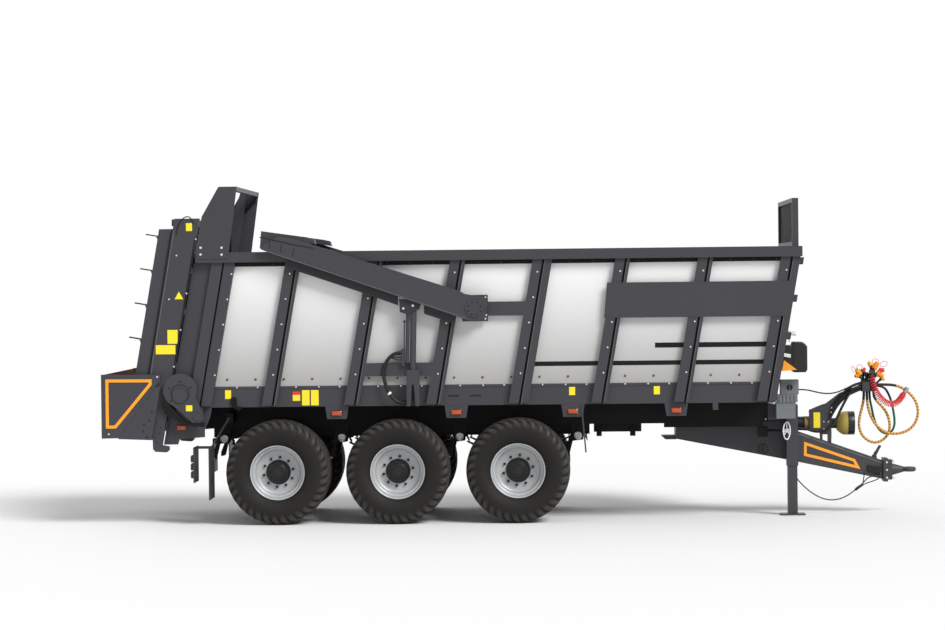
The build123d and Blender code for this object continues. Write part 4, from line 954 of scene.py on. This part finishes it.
def rounded_block(name, x, y, z, round_by, cut=0.0):
    """A black block between two values a side, its edges rounded; cut slants its two front corners."""
    outline = rectangle(x, z)
    if cut:
        outline[1:3] = [(x[1] - 0.4 * cut, z[0]), (x[1], z[0] + 0.6 * cut), (x[1], z[1] - cut), (x[1] - cut, z[1])]
    piece = ride(prism(name, outline, y, BLACK_PLASTIC))
    bevel(piece, round_by, 4)
    smooth_faces(piece.data, 60)
    return piece


guard_sheet()
pto_guard()
brake_gear()
couplers()
dust_caps()
wire_loops()
tank_trim()
rounded_block("tank_rear", (3.005, 3.20), (-0.897, -0.563), (1.668, 1.950), 0.022)
tank_front = rounded_block("tank_front", (3.155, 3.3155), (-0.899, -0.561), (1.645, 1.9865), 0.030, 0.045)
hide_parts("oil_tank")
rounded_block("tank_rib", (3.150, 3.166), (-0.9, -0.56), (1.68, 1.962), 0.006)


def drawbar_trim():
    """Along the drawbar: a broken weld line on its top edge, a dark slotted bracket with the cable's sleeve and
    two legs, bright bolts at its nose, a hand lever, and three pipes on the mast's arm."""
    for tag, side in SIDES:
        for number, (start, end, paint) in enumerate((((3.262, 0.912), (4.235, 0.562), CAST_GREY),
                                                      ((3.262, 0.628), (4.235, 0.408), BODY_PAINT))):
            line = np.linspace(*((x, side * (drawbar_half(x) + 0.0005), z) for x, z in (start, end)), 60)
            ride(sweep_tube(f"weld_{tag}_{number}", line, lambda at, turn: 0.0035 + 0.0012 * np.sin(400 * at),
                            paint, 6))
        nose = [(4.276, 0.574), (4.276, 0.486), (4.276, 0.398), (4.356, 0.390), (4.356, 0.582)]
        copies(f"nose_bolts_{tag}", *bolt_form(0.014, 0.012, side),
               [(x, side * (0.1245 if x < 4.3 else 0.099), z) for x, z in nose], ZINC)
        plate(f"slot_box_{tag}", [(4.052, 0.545), (4.205, 0.520), (4.205, 0.440), (4.060, 0.470)],
              (0.080, 0.121), side, DARK_BOLT)
    for number, leg in enumerate((
            [(3.993, 0.317), (4.004, 0.365), (4.010, 0.415), (4.022, 0.455), (4.050, 0.480)],
            [(3.993, 0.317), (4.060, 0.345), (4.130, 0.365), (4.185, 0.390), (4.203, 0.425), (4.198, 0.462)])):
        route = [(x, -0.150 + 0.02 * k / len(leg), z) for k, (x, z) in enumerate(leg)]
        ride(sweep_tube(f"cable_leg_{number}", smooth_line(route), 0.0065, CABLE_STEEL, 10))
    sleeve = smooth_line([(3.905, -0.190, 0.262), (3.925, -0.185, 0.280), (3.960, -0.172, 0.303),
                          (4.000, -0.158, 0.326)])
    ride(sweep_tube("cable_sleeve", sleeve, lambda at, turn: 0.0165 - 0.004 * np.abs(2 * at - 1) ** 4, BLACK_HOSE))
    ride(sweep_tube("lever_grip", np.linspace((4.150, 0, 0.655), (4.216, 0, 0.763), 10),
                    lambda at, turn: 0.0165 + 0.003 * (at < 0.25), BODY_PAINT, 16))
    ride(prism("lever_foot", [(4.112, 0.612), (4.175, 0.592), (4.172, 0.640), (4.150, 0.668), (4.122, 0.652)],
               (-0.022, 0.022), BODY_PAINT))
    for number, (y, route) in enumerate((
            (-0.125, [(3.640, 1.165), (3.700, 1.255), (3.790, 1.345), (3.890, 1.415), (4.010, 1.445)]),
            (-0.110, [(3.655, 1.225), (3.730, 1.320), (3.815, 1.405), (3.900, 1.470), (3.990, 1.490)]),
            (-0.128, [(3.630, 1.090), (3.680, 1.190), (3.760, 1.290), (3.860, 1.375), (4.000, 1.425)]))):
        ride(sweep_tube(f"arm_pipe_{number}", smooth_line(at_y(route, y)), 0.016, BLACK_HOSE, 12))


drawbar_trim()
rounded_block("holder_cover", (3.985, 4.135), (-0.128, -0.095), (1.392, 1.520), 0.010, 0.03)
ride(turned("valve_port", [(0.0, -0.685), (0.034, -0.685), (0.034, -0.6935), (0.026, -0.6935), (0.024, -0.687),
                           (0.0, -0.687)], (3.128, 0, 1.470), DARK_BOLT, steps=32))
ride(prism("valve_bar", rectangle((3.1245, 3.1315), (1.438, 1.502)), (-0.6945, -0.686), CAST_GREY))


# ---------------------------------------------------------------- swing frame and cylinders
PIVOT = (-0.417, 2.407)
ARM_SKIN = (ARM_OUT - 0.0005, ARM_OUT + 0.0025)
SWING = "swing_frame"
# Pipes beside a cylinder: (z from, z to, radius, x at the foot)
LIFT_PIPES = ((1.800, 2.500, 0.021, -1.178), (1.935, 2.262, 0.007, -1.212))
# Outlines of the dark sheets that paint the arm's shadow below it, with a gap for the cylinder
ARM_SHADOW_OUTLINES = ([(-2.40, 3.02), (-1.673, 2.775), (-1.275, 2.635), (-1.275, 2.450), (-1.681, 2.598),
               (-2.395, 2.843), (-2.52, 2.888), (-2.52, 3.02)],
              [(-0.985, 2.53), (-0.66, 2.42), (-0.66, 2.245), (-0.985, 2.352)])
ARM_RIBS = (((-2.705, 3.186), (-2.706, 3.100)), ((-2.571, 3.149), (-2.581, 3.060)),
            ((-2.429, 3.111), (-2.447, 3.010)))
HOOD_SEAM = [(-2.815, 3.222), (-2.425, 3.132), (-2.210, 3.092), (-2.210, 3.104), (-2.425, 3.146),
             (-2.815, 3.236)]


def cylinder_trim(tag, side):
    """The pipes and cap that ride on a cylinder, and the branches and tie of the hoses behind it."""
    for number, (low, high, radius, x) in enumerate(LIFT_PIPES):
        line = np.linspace((x, side * CYLINDER_Y, low), (x + 0.023 * (high - low), side * CYLINDER_Y, high), 12)
        ride(sweep_tube(f"lift_pipe_{tag}_{number}", line, radius, BODY_PAINT, 16), f"cylinder_{tag}")
    ride(turned(f"pipe_cap_{tag}", [(0.0, -0.012), (0.014, -0.012), (0.014, 0.012), (0.0, 0.012)],
                (-1.206, side * CYLINDER_Y, 2.268), DARK_BOLT, steps=18), f"cylinder_{tag}")
    turn = np.linspace(0, 1, 18)
    for number, z in enumerate((1.930, 1.900, 1.870, 1.840)):
        spread = 0.014 * np.sin(np.pi * turn) * (number - 1.5)
        line = np.stack([-1.245 - 0.14 * turn, side * (HOSE_BUNDLE_Y + spread),
                         z - (z - 1.905) * turn ** 2 - 0.03 * turn ** 2], -1)
        ride(sweep_tube(f"hose_branch_{tag}_{number}", line, 0.0085, BLACK_HOSE, 10))
    tie = ride(turned(f"hose_tie_{tag}", rectangle((0.020, 0.0235), (-0.012, 0.012)), (0, 0, 0), WHEEL_WHITE,
                      steps=24, closed=True))
    move_points(tie, lambda at: np.stack([-1.385 + at[:, 0] * 0.8 + at[:, 1] * 0.6,
                                          side * HOSE_BUNDLE_Y + at[:, 2],
                                          1.462 - at[:, 1] * 0.8 + at[:, 0] * 0.6], -1))


def arm_trim(tag, side):
    """Dark sheets below the arm are its painted shadow, with a gap for the cylinder, and a light line along the
    arm's lower edge is a painted highlight.
    """
    for number, outline in enumerate(ARM_SHADOW_OUTLINES):
        plate(f"arm_shadow_{tag}_{number}", outline, (1.170, 1.190), side, ARM_SHADOW_PAINT, SWING)
    # the bracket under the arm takes the same painted shadow colour
    plate(f"arm_bracket_{tag}", [(-1.262, 2.520), (-1.252, 2.372), (-1.163, 2.350), (-1.040, 2.402),
                                 (-1.005, 2.480), (-1.005, 2.520)], (1.2155, 1.224), side, ARM_SHADOW_PAINT, SWING)
    bolts(f"bracket_bolts_{tag}", [(-1.108, 2.446), (-1.215, 2.415)], 1.2235, side, 0.015, ZINC, SWING)
    ride(band(f"arm_edge_{tag}", [(-2.770, 3.088), (-2.770, 3.078), (-0.520, 2.296), (-0.515, 2.305)], 0.004,
              (side * ARM_SKIN[0], side * ARM_SKIN[1]), EDGE_HIGHLIGHT), SWING)
    for number, (top, foot) in enumerate(ARM_RIBS):
        plate(f"arm_rib_{tag}_{number}", seam_outline(top, foot, 0.008), ARM_SKIN, side, DARK_BOLT, SWING)
    plate(f"hood_seam_{tag}", HOOD_SEAM, ARM_SKIN, side, DARK_BOLT, SWING)


for tag, side in SIDES:
    copies(f"pivot_bolts_{tag}", *bolt_form(0.012, 0.008, side),
           ring_of((PIVOT[0], side * (ARM_OUT + 0.0065), PIVOT[1]), 0.072, 8, 0.0, 0.35), DARK_BOLT)
    bolts(f"pivot_plate_bolts_{tag}", [(-0.296, 2.530), (-0.290, 2.330), (-0.300, 2.290), (-0.540, 2.535)],
          POST_OUT + 0.010, side, 0.012, ZINC)
    cylinder_trim(tag, side)
    arm_trim(tag, side)


# ---------------------------------------------------------------- posts and rear unit
# Seams of the rear unit: a dark gap each side of the column, a thin light line beside the first that is a painted
# highlight, and a fold line on the panel behind it
REAR_SEAMS = (((-3.814, 3.313), (-4.092, 1.709), 0.016, COLUMN_OUT + 0.0005, BLACK_BAND),
              ((-3.792, 3.312), (-4.070, 1.709), 0.007, COLUMN_OUT + 0.0005, EDGE_HIGHLIGHT),
              ((-3.552, 3.240), (-3.8445, 1.576), 0.013, COLUMN_OUT + 0.0005, BLACK_BAND),
              ((-3.343, 2.916), (-3.583, 1.489), 0.006, WALL_OUT + 0.0005, DARK_BOLT))
# Outline of the gearbox cover's painted shadow
COVER_SHADE = [(-3.886, 1.498), (-3.943, 1.448), (-3.949, 1.348), (-3.909, 1.257), (-3.688, 1.128),
               (-3.469, 1.104), (-3.468, 1.153), (-3.669, 1.155), (-3.868, 1.367)]
COVER_MIDDLE = (-3.735, 1.486)
SLOT_SHADE_DEPTH = (1.0605, 1.0745)
RAIL_X = (-3.45, 0.86)


def rear_trim(tag, side):
    """The gearbox cover's ring and bolts, the guard's inner face, the column's lead and the portal's brace."""
    # a black plate behind the gearbox cover, offset down and towards the rear, is the cover's painted shadow
    plate(f"cover_shade_{tag}", COVER_SHADE, (1.156, 1.203), side, BLACK_BAND)
    ring = outward(rectangle((0.096, 0.104), (COVER_OUT, COVER_OUT + 0.0035)), side)
    ride(turned(f"cover_ring_{tag}", ring, (COVER_MIDDLE[0], 0, COVER_MIDDLE[1]), DARK_BOLT, steps=48,
                closed=True))
    bolts(f"cover_bolts_{tag}", [(COVER_MIDDLE[0] + 0.135 * math.cos(a), COVER_MIDDLE[1] + 0.135 * math.sin(a))
                                 for a in (0.5, 1.6, 2.7, 3.8)]
          + [(-3.567, 1.194), (-3.505, 1.235), (-3.560, 1.135)], COVER_OUT, side, 0.010, DARK_BOLT)
    plate(f"guard_inside_{tag}", [(-4.615, 1.668), (-4.615, 1.702), (-4.262, 1.772), (-4.262, 1.668)],
          (1.150, 1.154), side, RED_BROWN)
    lead = smooth_line([(-3.767, side * 1.157, 3.265), (-3.752, side * 1.163, 3.360),
                        (-3.700, side * 1.163, 3.445), (-3.640, side * 1.163, 3.478),
                        (-3.590, side * 1.163, 3.455), (-3.572, side * 1.157, 3.390)])
    ride(sweep_tube(f"column_lead_{tag}", lead, 0.006, BLACK_HOSE, 8))
    plate(f"portal_brace_{tag}", [(-3.396, 3.386), (-3.384, 3.439), (-3.113, 3.747), (-3.113, 3.682)],
          (1.157, 1.1655), side, BLACK_BAND)


for tag, side in SIDES:
    # Black strips in the slots beside the posts' lips are the lips' painted shadow, and thin light strips on the
    # lips are a painted highlight
    for number, line in enumerate(POST_LINES[1:]):
        leaning_strip(f"slot_{tag}_{number}", (line + 0.1085, line + 0.1375), (1.325, 2.95), SLOT_SHADE_DEPTH, side,
                      BLACK_BAND)
        leaning_strip(f"post_lip_{tag}_{number}", (line + 0.136, line + 0.142), (1.325, 2.95), (1.1285, 1.1312),
                      side, EDGE_HIGHLIGHT)
    # the black strip beside the rear post is painted shadow too
    leaning_strip(f"slot_{tag}_rear", (-3.536, -3.514), (1.33, 2.95), SLOT_SHADE_DEPTH, side, BLACK_BAND)
    leaning_strip(f"post_fill_{tag}_rear", (-3.571, -3.536), (1.325, 2.95), (1.100, 1.1295), side, BODY_PAINT)
    for number, (top, foot, width, face, paint) in enumerate(REAR_SEAMS):
        laid_plate(f"rear_seam_{tag}_{number}", seam_outline(top, foot, width), face, side, paint, 0.001)
    rear_trim(tag, side)
    # the chassis' lower rail, with its thin foot flange
    plate(f"low_rail_{tag}", rectangle(RAIL_X, (0.962, 1.125)), (0.440, 0.452), side, CHASSIS_PAINT)
    plate(f"low_flange_{tag}", rectangle(RAIL_X, (0.954, 0.963)), (0.420, 0.505), side, CHASSIS_PAINT)

# ---------------------------------------------------------------- running gear trim
HANGERS = (-3.325, -1.975, -0.625, 0.725)
BUSH_SECTION = [(0.0, 0.527), (0.047, 0.527), (0.047, 0.534), (0.040, 0.537), (0.020, 0.537), (0.017, 0.533),
                (0.0, 0.533)]
for tag, side in SIDES:
    for number, x in enumerate(HANGERS):
        ride(turned(f"hanger_bush_{tag}_{number}", outward(BUSH_SECTION, side), (x, 0, 0.935), BARE_STEEL,
                    steps=32))
    bolts(f"hanger_bolts_{tag}", [(x + away, 0.706) for x in HANGERS for away in (-0.132, -0.122)], 0.507, side,
          0.012, ZINC)


# ---------------------------------------------------------------- floor, light and camera
FLOOR_SIZE = 60.0
CAMERA_PLACE = (0.6487, -33.9244, 2.7525)
SENSOR_WIDTH = 36
FOCAL_LENGTH = 111.45905


def mix_shaders(tree, factor, first, second, end):
    """Shows a second shader in place of a first by a factor, at the tree's end."""
    mixer = tree.nodes.new("ShaderNodeMixShader")
    tree.links.new(factor, mixer.inputs["Fac"])
    tree.links.new(first, mixer.inputs[1])
    tree.links.new(second, mixer.inputs[2])
    tree.links.new(mixer.outputs["Shader"], tree.nodes[end].inputs["Surface"])


def stage_finish(name, colour):
    """The floor: a matt colour near the machine that fades to white, for the camera alone, far from it."""
    material, tree, shader = shader_material(name)
    shader.inputs["Base Color"].default_value = (*colour, 1)
    shader.inputs["Roughness"].default_value = 0.9
    shader.inputs["Specular IOR Level"].default_value = 0.1
    reach = tree.nodes.new("ShaderNodeVectorMath")
    reach.operation = "LENGTH"
    tree.links.new(object_place(tree), reach.inputs[0])
    spread = tree.nodes.new("ShaderNodeMapRange")
    spread.interpolation_type = "SMOOTHSTEP"
    spread.inputs["From Min"].default_value = 6.0
    spread.inputs["From Max"].default_value = 15.0
    tree.links.new(reach.outputs["Value"], spread.inputs["Value"])
    rays = tree.nodes.new("ShaderNodeLightPath").outputs
    white = tree.nodes.new("ShaderNodeEmission")
    seen = math_node(tree, "MULTIPLY", spread.outputs["Result"], rays["Is Camera Ray"])
    mix_shaders(tree, seen, shader.outputs["BSDF"], white.outputs["Emission"], "Material Output")
    return material


steps = np.linspace(-FLOOR_SIZE / 2, FLOOR_SIZE / 2, 5)
gx, gy = np.meshgrid(steps, steps, indexing="ij")
FLOOR = stage_finish("pale_floor", (0.9, 0.9, 0.9))
ground = add_mesh("ground", np.stack([gx, gy, -0.004 + 0 * gx], -1), grid_faces(5, 5), FLOOR)


def studio():
    """A white backdrop for the camera and for gloss, an even pale sky for light, and two soft suns."""
    world = bpy.data.worlds.new("studio")
    bpy.context.scene.world = world
    world.use_nodes = True
    tree = world.node_tree
    light = tree.nodes["Background"]
    white = tree.nodes.new("ShaderNodeBackground")
    light.inputs["Strength"].default_value = 0.50
    for sky in (light, white):
        sky.inputs["Color"].default_value = (1, 1, 1, 1)
    rays = tree.nodes.new("ShaderNodeLightPath").outputs
    seen = math_node(tree, "MAXIMUM", rays["Is Camera Ray"], rays["Is Glossy Ray"])
    seen = math_node(tree, "MAXIMUM", seen, rays["Is Transmission Ray"])
    mix_shaders(tree, seen, light.outputs["Background"], white.outputs["Background"], "World Output")
    for name, strength, angle, down, turn in (("key", 2.6, 24, 50, 44), ("fill", 0.4, 60, 60, 205)):
        lamp = bpy.data.lights.new(name, "SUN")
        lamp.energy = strength
        lamp.angle = math.radians(angle)
        holder = bpy.data.objects.new(name, lamp)
        holder.rotation_euler = (math.radians(down), 0, math.radians(turn))
        bpy.context.scene.collection.objects.link(holder)


def camera():
    """The camera: yaw, pitch and roll turned into its three axes, level with the body's lower half."""
    yaw, pitch, roll = -0.0333, -0.0128, 0.0109
    forward = Vector((math.sin(yaw) * math.cos(pitch), math.cos(yaw) * math.cos(pitch), math.sin(pitch)))
    right = Vector((math.cos(yaw), -math.sin(yaw), 0))
    upward = right.cross(forward)
    across = right * math.cos(roll) - upward * math.sin(roll)
    rise = right * math.sin(roll) + upward * math.cos(roll)
    lens_data = bpy.data.cameras.new("camera")
    lens_data.lens = FOCAL_LENGTH
    lens_data.sensor_width = SENSOR_WIDTH
    lens_data.clip_end = 300
    holder = bpy.data.objects.new("camera", lens_data)
    axes = Matrix((across, rise, -forward)).transposed().to_4x4()
    holder.matrix_world = Matrix.Translation(CAMERA_PLACE) @ axes
    bpy.context.scene.collection.objects.link(holder)
    bpy.context.scene.camera = holder


studio()
camera()
bpy.context.scene.view_settings.view_transform = "Standard"
